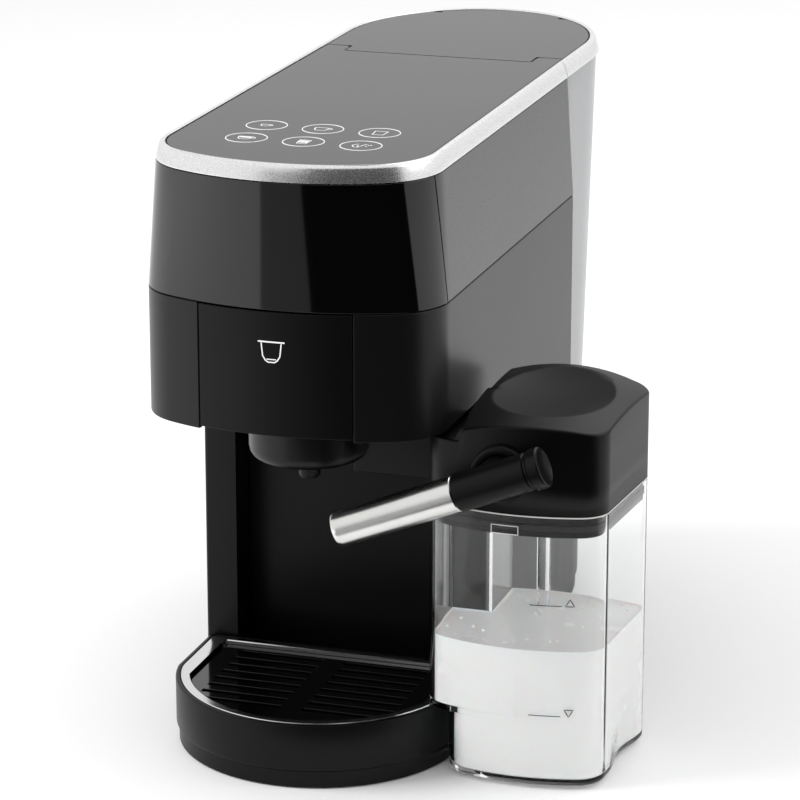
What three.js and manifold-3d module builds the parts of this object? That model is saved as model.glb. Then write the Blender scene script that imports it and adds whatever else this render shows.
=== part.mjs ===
// Pod coffee machine with a plug-in milk container.
// Millimetres, +Z up, -Y is the front. Everything is built about the body's mid-plane (x = 0), with y = 0 under
// the front of the head, and the whole machine is moved at the end so that its box stands on the origin.

import * as THREE from "three";
import { mergeVertices } from "three/addons/utils/BufferGeometryUtils.js";
import Module from "manifold-3d";

// ---------------------------------------------------------------- driving dimensions

const GAP = 0.3; // between pieces that touch
const SEAM = 0.6; // between pieces that slide past or lift off each other
const WALL = 2.2; // moulded casings

// Overall sizes: the lower casing's half-width and length, and where the gloss band starts
const BODY_HALF = 64.4;
const BODY_LENGTH = 349;
const BAND_BOTTOM = 206;

// Heights of the body
const BASE_BOTTOM = 0.6;
const BASE_TOP = 7.9;
const FOOT = { radius: 7, height: 2.6, front: 32, rear: BODY_LENGTH - 60, frontX: 34, rearX: 42 };
const TRAY_TOP = 28.7;
const HEAD_BOTTOM = 151.8;
const DOOR_RAISE = 1.2; // how far the pod drawer's front ends above the side panels' lip
const BAND_TOP = BAND_BOTTOM + 53.8;
const TRIM_HEIGHT = 7.1;
const TRIM_LEAN = 1.5;
const TRIM_BEVEL = 1.4;
const PANEL_THICK = 2.7; // touch panel and tank lid
const PANEL_DROP = 0.4; // how far the touch panel lies below the trim's top

// Plan outlines of the body, as a bowed front, round front corners, straight sides and a half-ellipse rear
const LOWER = { half: BODY_HALF, front: 0, bow: 120, corner: 27, back: BODY_LENGTH, rear: 77 };
const UPPER = { half: BODY_HALF - 3.5, front: -2.2, bow: 96, corner: 34, back: BODY_LENGTH - 1.5, rear: 75 };
const PANEL = { half: BODY_HALF - 8.2, front: 1.8, bow: 100, corner: 32, back: BODY_LENGTH - 7, rear: 70 };

// Where the body is divided along its length
const COLUMN_FRONT = 90;
const PILLAR = 14.9; // the column's sides, beside its recess
const RECESS_HALF = BODY_HALF - PILLAR;
const RECESS_DEPTH = 19;
const PORT_REACH = 15; // the steam port block, in front of the column
const PORT_HEIGHT = 36;
const REAR_SEAM = BODY_LENGTH - 120; // the water tank and rear housing start here
const LID_SEAM = REAR_SEAM + 8; // the touch panel ends and the tank lid starts here
const TAB_HALF = 44; // the tank lid's finger tab
const TAB_LENGTH = 11;
const BAND_SEAM_LOW = 33.5; // the gloss panel's side seam, at the band's bottom
const BAND_SEAM_HIGH = 29.4; // and at its top

// Pod drawer and brewing
const DOOR_HALF = 33;
const DOOR_THICK = 3;
const BREW_Y = 46; // pod, piston and outlet share this axis
const POD_RADIUS = 15;
const POD_DEPTH = 22;
const POD_WALL = 1.6;
const CARRIAGE_Z = 178;
const CARRIAGE_THICK = 3;
const CARRIAGE_HALF = 29;
const CARRIAGE_BACK = 88;
const RAIL_LENGTH = 76;
const FLOOR_RAISE = 1.5; // head floor above the side panels' lip
const OUTLET_RADIUS = 25.4;
const OUTLET_DEPTH = 24.4;
const OUTLET_DISH = 13.4;
const NOZZLE_RADIUS = 4.6;
const NOZZLE_BOTTOM = 122;
const PISTON_RADIUS = POD_RADIUS - 1;
const PISTON_CLEAR = 8.7; // above the pod holder's rim; the stroke leaves 0.7 mm of it

// Drip tray
const TRAY_HALF = BODY_HALF - 2.4;
const TRAY_RADIUS = TRAY_HALF + 1;
const TRAY_FRONT = -3;
const TRAY_CENTRE = TRAY_FRONT + TRAY_RADIUS;
const TRAY_WALL = 2;
const TRAY_FLOOR = 2.5;
const TRIM_BAND = 4;
const COVER_HALF = TRAY_HALF - 8.6;
const COVER_THICK = 2.2;
const SLOT_WIDTH = 3;
const SLOT_PITCH = 8;
const SLOT_REACH = TRAY_RADIUS - 17;

// Milk container, whose plan has a notch for the column at its rear left
const MILK_LEFT = BODY_HALF - 10.4;
const MILK = {
  left: MILK_LEFT, frontRight: MILK_LEFT + 77, right: MILK_LEFT + 80.6, front: 27.6, bow: 93, corner: 13,
  axis: MILK_LEFT + 39.5, back: 104.5, backBow: 120, backCorner: 8, notchX: BODY_HALF + 7.1,
  notchY: COLUMN_FRONT - 18,
};
const MILK_FOOT_LEFT = TRAY_HALF + 1.5; // its narrower lower part, beside the drip tray
const MILK_STEP = 29.2;
const MILK_BOTTOM = 1.5;
const MILK_RIM = 120;
const MILK_WALL = 2;
const MILK_FLOOR = 2.5;
const SKIRT_DEPTH = 9.5;
const SKIRT_WALL = 2.4;
const GASKET_HEIGHT = 2.4;
const GASKET_DROP = 4.3; // below the rim
const LID_DOME = { x: MILK_LEFT + 45.5, y: 84, top: 164.2, bowX: 100, bowY: 260, height: 60 };
const LID_SCOOP = { x: MILK_LEFT + 46.5, y: 62, bottom: 157.2, radius: 110 };
const LID_LOW_TOP = 148.6; // the part of the lid that goes under the head
const LID_LOW_RIGHT = BODY_HALF + 5.6;
const LID_CAVITY_TOP = 145;
const SUCTION = { x: MILK_LEFT + 37, y: 88, radius: 3, bore: 2, clear: 5 };
const STEAM = { x: BODY_HALF - 5.1, z: 134, radius: 3.2, bore: 1.5, plug: 8 };

// Spout, which turns about a pivot on the lid's front
const PIVOT = { x: MILK_LEFT + 35, z: 137.5 };
const SPOUT_TILT = THREE.MathUtils.degToRad(22.2);
const SLEEVE_RADIUS = 8;
const SLEEVE_FRONT = 15.7; // from the pivot towards the mouth
const SLEEVE_REAR = 18.2; // from the pivot towards the cap
const CAP_RADIUS = 8.6;
const CAP_LENGTH = 5;
const TUBE_RADIUS = 7.7;
const TUBE_WALL = 0.8;
const TUBE_MOUTH = 71; // from the pivot
const SPIGOT_LENGTH = 11;
const SHAFT_RADIUS = 5;
const SHAFT_LENGTH = 9;
const PIVOT_RING = { radius: 12.3, bore: 8.6, thick: 2.6 };
const SPOUT_Y = MILK.front - PIVOT_RING.thick - SLEEVE_RADIUS - 2;

// Water tank
const TANK_BOTTOM = 98.6;
const TANK_WALL = 2.2;
const TANK_INSET = 1; // inside the trim ring above it
const TANK_TAPER = 14; // how much further forward its rear is at the bottom
const TANK_NARROWING = 1.2; // on each side, at the bottom
const LID_PLUG_DEPTH = 7;
const LID_HINGE = { y: PANEL.back - 12, pin: 0.7, bore: 1, reach: 5.5, relief: 2.4 };
const VALVE = { y: REAR_SEAM + 46, stem: 7, flange: 10, drop: 10, rise: 5 };
const SOCKET_RADIUS = 15.7;
const SOCKET_DEPTH = 14;

// Works inside
const HOSE_RADIUS = 3;
const STEAM_HOSE_RADIUS = 2.4;
const PUMP = { x: -32, y: 165, radius: 17, bottom: 14, height: 100 };
const HEATER = { x: 28, y: 170, width: 45, depth: 60, bottom: 20, height: 65 };
const INLET = { half: 15, z: 40, tall: 24, deep: 18 };
const ROCKER = { half: 6.5, z: 72, tall: 18, deep: 6 };
const VALVE_BLOCK = { x: 38, y: 168, size: 28, bottom: 96, height: 26 };
const METER = { x: -30, y: REAR_SEAM - 17, radius: 14, bottom: 128, height: 16 };

// ---------------------------------------------------------------- materials

const finish = (color, roughness, metalness = 0, opacity = 1) =>
  new THREE.MeshStandardMaterial({ color, roughness, metalness, opacity, transparent: opacity < 1 });

const MATERIALS = {
  satin: finish(0x3b3b3d, 0.5),
  matte: finish(0x161617, 0.65),
  gloss: finish(0x0b0b0c, 0.12),
  panel: finish(0x3a3b3d, 0.2),
  silver: finish(0xc9cacc, 0.32, 0.8),
  steel: finish(0xc4c3c0, 0.28, 1),
  clear: finish(0xe9eef0, 0.06, 0, 0.35),
  smoke: finish(0xc7c9ca, 0.3, 0, 0.6),
  rubber: finish(0x1c1c1d, 0.85),
  metal: finish(0x9a9b9d, 0.4, 1),
  board: finish(0x1e5a34, 0.5),
  hose: finish(0xd8d6cf, 0.45),
  brass: finish(0xb2914f, 0.35, 1),
};

// ---------------------------------------------------------------- solids

const wasm = await Module();
wasm.setup();

/** A closed three.js geometry as a solid that can be joined and cut. */
function solid(geometry) {
  const bare = new THREE.BufferGeometry();
  bare.setAttribute("position", geometry.getAttribute("position"));
  bare.setIndex(geometry.index);
  const merged = mergeVertices(bare, 1e-4);
  const corners = merged.index.array;
  const faces = [];
  for (let i = 0; i < corners.length; i += 3) {
    const [a, b, c] = corners.slice(i, i + 3);
    if (a !== b && b !== c && c !== a) faces.push(a, b, c);
  }
  const mesh = new wasm.Mesh({
    numProp: 3,
    vertProperties: merged.attributes.position.array,
    triVerts: new Uint32Array(faces),
  });
  return new wasm.Manifold(mesh);
}

/** A solid's surface as a three.js geometry. */
function geometryOf(body) {
  const mesh = body.getMesh();
  const geometry = new THREE.BufferGeometry();
  geometry.setAttribute("position", new THREE.BufferAttribute(mesh.vertProperties, 3));
  geometry.setIndex(new THREE.BufferAttribute(mesh.triVerts, 1));
  geometry.computeVertexNormals();
  return geometry;
}

const join = (first, ...others) => others.reduce((sum, next) => sum.add(next), first);
const cut = (first, ...others) => others.reduce((rest, next) => rest.subtract(next), first);

/** A block between two corners, given as ranges along x, y and z. */
function block([x0, x1], [y0, y1], [z0, z1]) {
  const geometry = new THREE.BoxGeometry(x1 - x0, y1 - y0, z1 - z0);
  return solid(geometry.translate((x0 + x1) / 2, (y0 + y1) / 2, (z0 + z1) / 2));
}

/** A straight rod between two points. */
function rod(radius, from, to, sides = 24) {
  const start = new THREE.Vector3(...from);
  const along = new THREE.Vector3(...to).sub(start);
  const geometry = new THREE.CylinderGeometry(radius, radius, along.length(), sides);
  const turn = new THREE.Quaternion().setFromUnitVectors(
    new THREE.Vector3(0, 1, 0),
    along.clone().normalize(),
  );
  geometry.applyQuaternion(turn);
  geometry.translate(...start.addScaledVector(along, 0.5).toArray());
  return solid(geometry);
}

/** A body of revolution about a vertical axis at (x, y), from [radius, z] pairs listed from the bottom up. */
function turned(profile, x, y, sides = 32) {
  const points = profile.map(([radius, z]) => new THREE.Vector2(radius, z));
  const geometry = new THREE.LatheGeometry(points, sides);
  return solid(geometry.rotateX(Math.PI / 2).translate(x, y, 0));
}

/** An upright prism over a closed outline. */
function prism(outline, low, high) {
  const shape = new THREE.Shape(outline);
  const geometry = new THREE.ExtrudeGeometry(shape, { depth: high - low, bevelEnabled: false });
  return solid(geometry.translate(0, 0, low));
}

/** A solid whose outline changes with height: levels are {z, outline}, each outline with as many points. */
function loft(levels) {
  const count = levels[0].outline.length;
  const positions = levels.flatMap(({ z, outline }) => outline.flatMap((p) => [p.x, p.y, z]));
  const faces = [];
  for (let level = 0; level < levels.length - 1; level += 1) {
    for (let i = 0; i < count; i += 1) {
      const next = (i + 1) % count;
      const [a, b] = [level * count + i, level * count + next];
      faces.push(a, b, b + count, a, b + count, a + count);
    }
  }
  const top = (levels.length - 1) * count;
  THREE.ShapeUtils.triangulateShape(levels[0].outline, []).forEach(([a, b, c]) => faces.push(a, c, b));
  THREE.ShapeUtils.triangulateShape(levels.at(-1).outline, []).forEach(([a, b, c]) =>
    faces.push(top + a, top + b, top + c),
  );
  const geometry = new THREE.BufferGeometry();
  geometry.setAttribute("position", new THREE.Float32BufferAttribute(positions, 3));
  geometry.setIndex(faces);
  return solid(geometry);
}

/** A hose of round section along a smooth curve through the points. */
function hose(points, radius = HOSE_RADIUS, sides = 8) {
  const path = new THREE.CatmullRomCurve3(points.map((p) => new THREE.Vector3(...p)));
  const section = new THREE.Shape(ring(0, 0, radius, 0, 2 * Math.PI, sides).slice(0, sides));
  const steps = Math.ceil(path.getLength() / (6 * radius));
  const geometry = new THREE.ExtrudeGeometry(section, { extrudePath: path, steps, bevelEnabled: false });
  return solid(geometry);
}

// ---------------------------------------------------------------- outlines

/** Points on an arc or ellipse, both ends included. */
function ring(x, y, radius, from, to, steps, radiusY = radius) {
  return Array.from({ length: steps + 1 }, (_, i) => {
    const angle = from + ((to - from) * i) / steps;
    return new THREE.Vector2(x + radius * Math.cos(angle), y + radiusY * Math.sin(angle));
  });
}

/** The body's plan, moved in by inset: bowed front, round front corners, half-ellipse rear. */
function bodyPlan(plan, inset = 0) {
  const half = plan.half - inset;
  const front = plan.front + inset;
  const bow = plan.bow - inset;
  const corner = plan.corner - inset;
  const rear = plan.rear - inset;
  const back = plan.back - inset;
  const cornerX = half - corner;
  const cornerY = front + bow - Math.sqrt((bow - corner) ** 2 - cornerX ** 2);
  const spread = Math.atan2(cornerX, front + bow - cornerY);
  const down = 1.5 * Math.PI;
  return [
    ...ring(-cornerX, cornerY, corner, Math.PI, down - spread, 7),
    ...ring(0, front + bow, bow, down - spread, down + spread, 16).slice(1, -1),
    ...ring(cornerX, cornerY, corner, down + spread, 2 * Math.PI, 7),
    ...ring(0, back - rear, half, 0, Math.PI, 28, rear),
  ];
}

/** Half the width of a plan's elliptical rear at y. */
const edgeX = ({ half, back, rear }, y) => half * Math.sqrt(1 - ((y - back + rear) / rear) ** 2);

/** The drip tray's plan: a round front and straight sides, cut off at the back. */
function trayPlan(inset, half = TRAY_HALF - inset, back = COLUMN_FRONT - SEAM - inset) {
  const radius = TRAY_RADIUS - inset;
  const swing = Math.acos(half / radius);
  const arc = ring(0, TRAY_CENTRE, radius, Math.PI + swing, 2 * Math.PI - swing, 32);
  return [...arc, new THREE.Vector2(half, back), new THREE.Vector2(-half, back)];
}

/** The milk container's plan, moved in by inset: bowed front and back, with the column's notch. */
function milkPlan(inset = 0, left = MILK.left) {
  const [west, east, frontEast] = [left + inset, MILK.right - inset, MILK.frontRight - inset];
  const [front, bow, corner] = [MILK.front + inset, MILK.bow - inset, MILK.corner - inset];
  const [back, backBow, backCorner] = [MILK.back - inset, MILK.backBow - inset, MILK.backCorner - inset];
  const [notchX, notchY] = [MILK.notchX + inset, MILK.notchY - inset];
  const bowY = front + bow;
  const [leftX, rightX] = [west + corner, frontEast - corner];
  const reach = bow - corner;
  const leftY = bowY - Math.sqrt(reach ** 2 - (MILK.axis - leftX) ** 2);
  const rightY = bowY - Math.sqrt(reach ** 2 - (rightX - MILK.axis) ** 2);
  const down = 1.5 * Math.PI;
  const swingLeft = Math.atan2(MILK.axis - leftX, bowY - leftY);
  const swingRight = Math.atan2(rightX - MILK.axis, bowY - rightY);
  const backY = (x) => back - backBow + Math.sqrt(backBow ** 2 - (x - MILK.axis) ** 2);
  const backX = east - backCorner;
  const cornerBackY = backY(backX) - backCorner;
  return [
    ...ring(leftX, leftY, corner, Math.PI, down - swingLeft, 6),
    ...ring(MILK.axis, bowY, bow, down - swingLeft, down + swingRight, 12).slice(1, -1),
    ...ring(rightX, rightY, corner, down + swingRight, 2 * Math.PI, 6),
    ...ring(backX, cornerBackY, backCorner, 0, Math.PI / 2, 4),
    ...[0.75, 0.5, 0.25, 0].map((share) => {
      const x = THREE.MathUtils.lerp(notchX, backX, share);
      return new THREE.Vector2(x, backY(x));
    }),
    new THREE.Vector2(notchX, notchY),
    new THREE.Vector2(west, notchY),
  ];
}

// ---------------------------------------------------------------- levels worked out from the sizes

const FLOOR_LEVEL = BASE_TOP + GAP; // what stands on the base plate starts here
const TRIM_TOP = BAND_TOP + TRIM_HEIGHT;
const PANEL_TOP = TRIM_TOP - PANEL_DROP;
const PANEL_BOTTOM = PANEL_TOP - PANEL_THICK;
const HOLDER_RIM = CARRIAGE_Z + CARRIAGE_THICK + GAP + 2;
const PISTON_BOTTOM = HOLDER_RIM + PISTON_CLEAR;
const BREW_TOP = PISTON_BOTTOM + 34;
const SPLIT = SEAM / 2; // each side of a seam
const FLOOR_Z = HEAD_BOTTOM + FLOOR_RAISE;
const TANK_PLAN = { ...UPPER, half: UPPER.half - TANK_INSET, back: UPPER.back - TANK_INSET };
const REAR_PLAN = {
  ...TANK_PLAN,
  half: TANK_PLAN.half - TANK_NARROWING,
  back: TANK_PLAN.back - TANK_TAPER,
};
const WIDE = 400; // longer than the machine, for cutting blocks
const INSIDE = COLUMN_FRONT + RECESS_DEPTH + WALL; // the column's inside starts here

// ---------------------------------------------------------------- the machine

const machine = new THREE.Group();

/** Adds one named piece to the machine. */
function piece(name, body, material) {
  const mesh = new THREE.Mesh(geometryOf(body), MATERIALS[material]);
  mesh.name = name;
  machine.add(mesh);
}

/** Everything in front of a plane y = at. */
const before = (at) => block([-WIDE, WIDE], [-WIDE, at], [-WIDE, WIDE]);
/** Everything behind a plane y = at. */
const behind = (at) => block([-WIDE, WIDE], [at, WIDE * 2], [-WIDE, WIDE]);
/** The room that the rear housing and the water tank leave for the bulkhead. */
const bulkheadRoom = () =>
  block([-PANEL.half - SEAM, PANEL.half + SEAM], [-WIDE, LID_SEAM + SPLIT], [0, WIDE]);

function base() {
  const slab = (outline) => prism(outline, BASE_BOTTOM, BASE_TOP);
  const body = cut(slab(bodyPlan(LOWER, 1)), before(COLUMN_FRONT - 3), behind(REAR_SEAM));
  const rear = cut(slab(bodyPlan(REAR_PLAN, 1)), before(REAR_SEAM - 3));
  const corners = [
    ["front_left", -FOOT.frontX, FOOT.front],
    ["front_right", FOOT.frontX, FOOT.front],
    ["rear_left", -FOOT.rearX, FOOT.rear],
    ["rear_right", FOOT.rearX, FOOT.rear],
  ];
  const pockets = corners.map(([, x, y]) => rod(FOOT.radius + GAP, [x, y, 0], [x, y, FOOT.height + GAP]));
  piece("base_plate", cut(join(slab(trayPlan(1.2)), body, rear), ...pockets), "matte");
  corners.forEach(([name, x, y]) => {
    piece(`foot_${name}`, rod(FOOT.radius, [x, y, 0], [x, y, FOOT.height]), "rubber");
  });
}

/** The lower casing's shell, from the base plate to the gloss band. */
function lowerShell() {
  const [low, high] = [FLOOR_LEVEL, BAND_BOTTOM - GAP];
  const outer = prism(bodyPlan(LOWER), low, high);
  return cut(outer, prism(bodyPlan(LOWER, WALL), low - 1, high + 1));
}

function sidePanels() {
  const bay = block([-WIDE, WIDE], [-WIDE, COLUMN_FRONT + WALL + GAP], [0, HEAD_BOTTOM]);
  const shell = cut(lowerShell(), bay, behind(REAR_SEAM - SPLIT));
  const edge = DOOR_HALF + SPLIT;
  piece("left_side_panel", cut(shell, block([-edge, WIDE], [-WIDE, WIDE], [0, WIDE])), "satin");
  piece("right_side_panel", cut(shell, block([-WIDE, edge], [-WIDE, WIDE], [0, WIDE])), "satin");
}

function columnFront() {
  const [front, half, deep] = [COLUMN_FRONT, RECESS_HALF, COLUMN_FRONT + RECESS_DEPTH];
  const round = 2;
  const face = [
    new THREE.Vector2(half, deep),
    new THREE.Vector2(half, front),
    ...ring(LOWER.half - round, front + round, round, -Math.PI / 2, 0, 3),
  ];
  const back = [
    new THREE.Vector2(LOWER.half, front + WALL),
    new THREE.Vector2(half + WALL, front + WALL),
    new THREE.Vector2(half + WALL, deep + WALL),
  ];
  const mirrored = (points) => points.map((p) => new THREE.Vector2(-p.x, p.y)).reverse();
  const outline = [...mirrored(face), ...face, ...back, ...mirrored(back)];
  piece("column_front", prism(outline, FLOOR_LEVEL, HEAD_BOTTOM - GAP), "matte");
}

function headFloor() {
  const plate = prism(bodyPlan(LOWER, WALL + GAP), FLOOR_Z, FLOOR_Z + WALL);
  const hole = rod(OUTLET_RADIUS - 2, [0, BREW_Y, FLOOR_Z - 1], [0, BREW_Y, FLOOR_Z + WALL + 1]);
  const doorway = block(
    [-DOOR_HALF - SEAM, DOOR_HALF + SEAM],
    [-WIDE, LOWER.front + DOOR_THICK + 6],
    [0, WIDE],
  );
  piece("head_floor", cut(plate, hole, doorway, behind(INSIDE)), "matte");
}

/** The upper casing's shell, which leans out at the front. */
function bandShell() {
  const levels = (inset, over) => [
    { z: BAND_BOTTOM - over, outline: bodyPlan(LOWER, inset) },
    { z: BAND_TOP - GAP + over, outline: bodyPlan(UPPER, inset) },
  ];
  const outer = loft(levels(0, 0));
  return cut(outer, loft(levels(WALL, 1)), behind(REAR_SEAM - SPLIT));
}

/** Everything in front of the slanted seam between the gloss panel and the side panels. */
function bandFront(offset) {
  const rise = BAND_TOP - BAND_BOTTOM;
  const lean = (BAND_SEAM_HIGH - BAND_SEAM_LOW) / rise;
  const y = (z) => BAND_SEAM_LOW + lean * (z - BAND_BOTTOM) + offset;
  const [low, high] = [BAND_BOTTOM - 20, BAND_TOP + 20];
  const square = (z) => [
    new THREE.Vector2(-WIDE, -WIDE),
    new THREE.Vector2(WIDE, -WIDE),
    new THREE.Vector2(WIDE, y(z)),
    new THREE.Vector2(-WIDE, y(z)),
  ];
  return loft([{ z: low, outline: square(low) }, { z: high, outline: square(high) }]);
}

function upperBand() {
  const shell = bandShell();
  piece("front_gloss_panel", shell.intersect(bandFront(-SPLIT / 2)), "gloss");
  const sides = cut(shell, bandFront(SPLIT / 2));
  piece("left_upper_panel", cut(sides, block([0, WIDE], [-WIDE, WIDE], [0, WIDE])), "satin");
  piece("right_upper_panel", cut(sides, block([-WIDE, 0], [-WIDE, WIDE], [0, WIDE])), "satin");
}

/** The trim ring all the way round, with its bevel. */
function trimRing() {
  const outer = loft([
    { z: BAND_TOP, outline: bodyPlan(UPPER) },
    { z: TRIM_TOP - TRIM_BEVEL, outline: bodyPlan(UPPER, TRIM_LEAN) },
    { z: TRIM_TOP, outline: bodyPlan(UPPER, TRIM_LEAN + TRIM_BEVEL) },
  ]);
  return cut(outer, prism(bodyPlan(PANEL, -SEAM), BAND_TOP - 1, TRIM_TOP + 1));
}

function top() {
  piece("head_trim_ring", cut(trimRing(), behind(REAR_SEAM - SPLIT)), "silver");
  const tab = block([-TAB_HALF - SEAM, TAB_HALF + SEAM], [LID_SEAM - TAB_LENGTH - SPLIT, WIDE], [0, WIDE]);
  const panel = prism(bodyPlan(PANEL), PANEL_BOTTOM, PANEL_TOP);
  piece("touch_panel", cut(panel, tab, behind(LID_SEAM - SPLIT)), "panel");
  const frame = prism(bodyPlan(PANEL), BAND_TOP + GAP, PANEL_BOTTOM - GAP);
  const window = block([-44, 44], [20, LID_SEAM - TAB_LENGTH - 12], [0, WIDE]);
  piece("top_frame", cut(frame, window, behind(LID_SEAM - SPLIT)), "matte");
}

function rearHousing() {
  const [low, high] = [FLOOR_LEVEL, TANK_BOTTOM - GAP];
  const outer = prism(bodyPlan(REAR_PLAN), low, high);
  const inner = prism(bodyPlan(REAR_PLAN, WALL), low - 1, high - WALL);
  const socket = rod(SOCKET_RADIUS + GAP, [0, VALVE.y, high - 9], [0, VALVE.y, high + 1], 32);
  const opening = (half, z, tall) => block(
    [-half - GAP, half + GAP],
    [REAR_PLAN.back - 20, REAR_PLAN.back + 20],
    [z - tall / 2 - GAP, z + tall / 2 + GAP],
  );
  const inlet = opening(INLET.half, INLET.z, INLET.tall);
  const rocker = opening(ROCKER.half + 0.4, ROCKER.z, ROCKER.tall + 2);
  const front = before(REAR_SEAM + SPLIT);
  piece("rear_housing", cut(outer, inner, socket, front, bulkheadRoom(), inlet, rocker), "satin");
  const seat = turned(
    [
      [0, high - SOCKET_DEPTH], [SOCKET_RADIUS - 4, high - SOCKET_DEPTH], [SOCKET_RADIUS, high - SOCKET_DEPTH + 4],
      [SOCKET_RADIUS, high - GAP], [VALVE.stem + SEAM, high - GAP],
      [VALVE.stem + SEAM, high - SOCKET_DEPTH + 3], [0, high - SOCKET_DEPTH + 3],
    ],
    0, VALVE.y,
  );
  piece("tank_socket", seat, "matte");
}

/** The bulkhead between the works and the water tank: a hat section that reaches back under the touch panel. */
function bulkhead() {
  const [front, back] = [REAR_SEAM - SPLIT - WALL, LID_SEAM - SPLIT];
  const hat = (half, low, high) => {
    const right = [
      new THREE.Vector2(PANEL.half - WALL, back - WALL),
      new THREE.Vector2(PANEL.half - WALL, front),
      new THREE.Vector2(half, front),
      new THREE.Vector2(half, front + WALL),
      new THREE.Vector2(PANEL.half, front + WALL),
      new THREE.Vector2(PANEL.half, back),
    ];
    const left = right.map((p) => new THREE.Vector2(-p.x, p.y)).reverse();
    return prism([...left, ...right], low, high);
  };
  const lower = hat(LOWER.half - WALL - GAP, FLOOR_LEVEL, BAND_BOTTOM);
  const upper = hat(UPPER.half - WALL - GAP, BAND_BOTTOM - 1, BAND_TOP - GAP);
  const passage = rod(HOSE_RADIUS + 1, [-20, back - 20, 40], [-20, back + 20, 40]);
  piece("rear_bulkhead", cut(join(lower, upper), passage), "matte");
}

function mains() {
  const { back } = REAR_PLAN;
  const { half, z, tall, deep } = INLET;
  const shell = block([-half, half], [back - deep, back + 0.5], [z - tall / 2, z + tall / 2]);
  const room = tall / 2 - 2.5;
  const mouth = block([2.5 - half, half - 2.5], [back - deep + 3, back + 5], [z - room, z + room]);
  const pins = [-7, 0, 7].map((x) => block([x - 1, x + 1], [back - deep + 2, back - 4], [z - 2, z + 2]));
  piece("mains_inlet", join(cut(shell, mouth), ...pins), "matte");
}

/** The rocker of the power switch, a shallow V turned about an X axis just inside the housing wall. */
function powerSwitch() {
  const { half, z, tall, deep } = ROCKER;
  const reach = tall / 2;
  const shape = new THREE.Shape([
    new THREE.Vector2(-deep, 1 - reach), new THREE.Vector2(1.8, -reach), new THREE.Vector2(0, 0),
    new THREE.Vector2(1.8, reach), new THREE.Vector2(-deep, reach - 1),
  ]);
  const geometry = new THREE.ExtrudeGeometry(shape, { depth: 2 * half, bevelEnabled: false });
  geometry.rotateX(Math.PI / 2).rotateZ(Math.PI / 2).translate(-half, REAR_PLAN.back, z);
  piece("power_switch", solid(geometry), "matte");
}

function outlet() {
  const top = FLOOR_Z - GAP;
  const [r, bottom] = [OUTLET_RADIUS, top - OUTLET_DEPTH];
  const bore = NOZZLE_RADIUS + GAP;
  const dish = OUTLET_DISH;
  piece("coffee_outlet", turned(
    [
      [bore, bottom], [dish - 2, bottom], [dish - 0.4, bottom + 0.8], [dish, bottom + 2.2], [r - 5.4, bottom + 2.4],
      [r - 2.2, bottom + 3.6], [r - 0.5, bottom + 5.6], [r, bottom + 8], [r, top],
      [r - 2.4, top], [r - 2.4, bottom + 8], [r - 6, bottom + 5], [bore, bottom + 4], [bore, bottom],
    ],
    0, BREW_Y, 40,
  ), "matte");
  const inside = NOZZLE_RADIUS - 1.6;
  piece("coffee_nozzle", turned(
    [
      [inside, NOZZLE_BOTTOM], [NOZZLE_RADIUS - 0.6, NOZZLE_BOTTOM], [NOZZLE_RADIUS, NOZZLE_BOTTOM + 1],
      [NOZZLE_RADIUS, bottom + 4.6], [9, bottom + 6], [9, bottom + 8], [inside, bottom + 8],
      [inside, NOZZLE_BOTTOM],
    ],
    0, BREW_Y, 24,
  ), "matte");
}

function podDrawer() {
  const outer = prism(bodyPlan(LOWER), HEAD_BOTTOM + DOOR_RAISE, BAND_BOTTOM - SEAM);
  const inner = prism(bodyPlan(LOWER, DOOR_THICK), 0, WIDE);
  const strip = block([-DOOR_HALF, DOOR_HALF], [-WIDE, BREW_Y], [0, WIDE]);
  piece("pod_drawer_front", cut(outer, inner).intersect(strip), "matte");

  const front = LOWER.front + DOOR_THICK + SPLIT;
  const [low, high] = [CARRIAGE_Z, CARRIAGE_Z + CARRIAGE_THICK];
  const plate = block([-CARRIAGE_HALF, CARRIAGE_HALF], [front + 6, CARRIAGE_BACK], [low, high]);
  const bracket = block([-18, 18], [front + 1.6, front + 9], [high - 12, high + 8]);
  const seat = rod(POD_RADIUS + POD_WALL + GAP, [0, BREW_Y, low - 1], [0, BREW_Y, high + 1], 36);
  piece("pod_carriage", cut(join(plate, bracket), seat), "matte");

  const [rim, wall] = [high + GAP, POD_RADIUS + POD_WALL];
  const bottom = HOLDER_RIM - POD_DEPTH;
  piece("pod_holder", turned(
    [
      [2.5, bottom - POD_WALL], [wall - 3, bottom - POD_WALL], [wall, bottom + 1], [wall, rim], [wall + 4, rim],
      [wall + 4, HOLDER_RIM], [POD_RADIUS, HOLDER_RIM], [POD_RADIUS - 2.4, bottom], [2.5, bottom],
      [2.5, bottom - POD_WALL],
    ],
    0, BREW_Y, 36,
  ), "metal");

  [-1, 1].forEach((side) => {
    const [inside, outside] = [CARRIAGE_HALF - 3, CARRIAGE_HALF + 4];
    const span = (a, b) => (side < 0 ? [-b, -a] : [a, b]);
    const bar = block(span(inside, outside), [14, 14 + RAIL_LENGTH], [low - 5, high + 5]);
    const groove = block(span(inside - 1, CARRIAGE_HALF + SEAM), [0, WIDE], [low - 0.5, high + 0.5]);
    piece(`drawer_rail_${side < 0 ? "left" : "right"}`, cut(bar, groove), "matte");
  });
}

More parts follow.
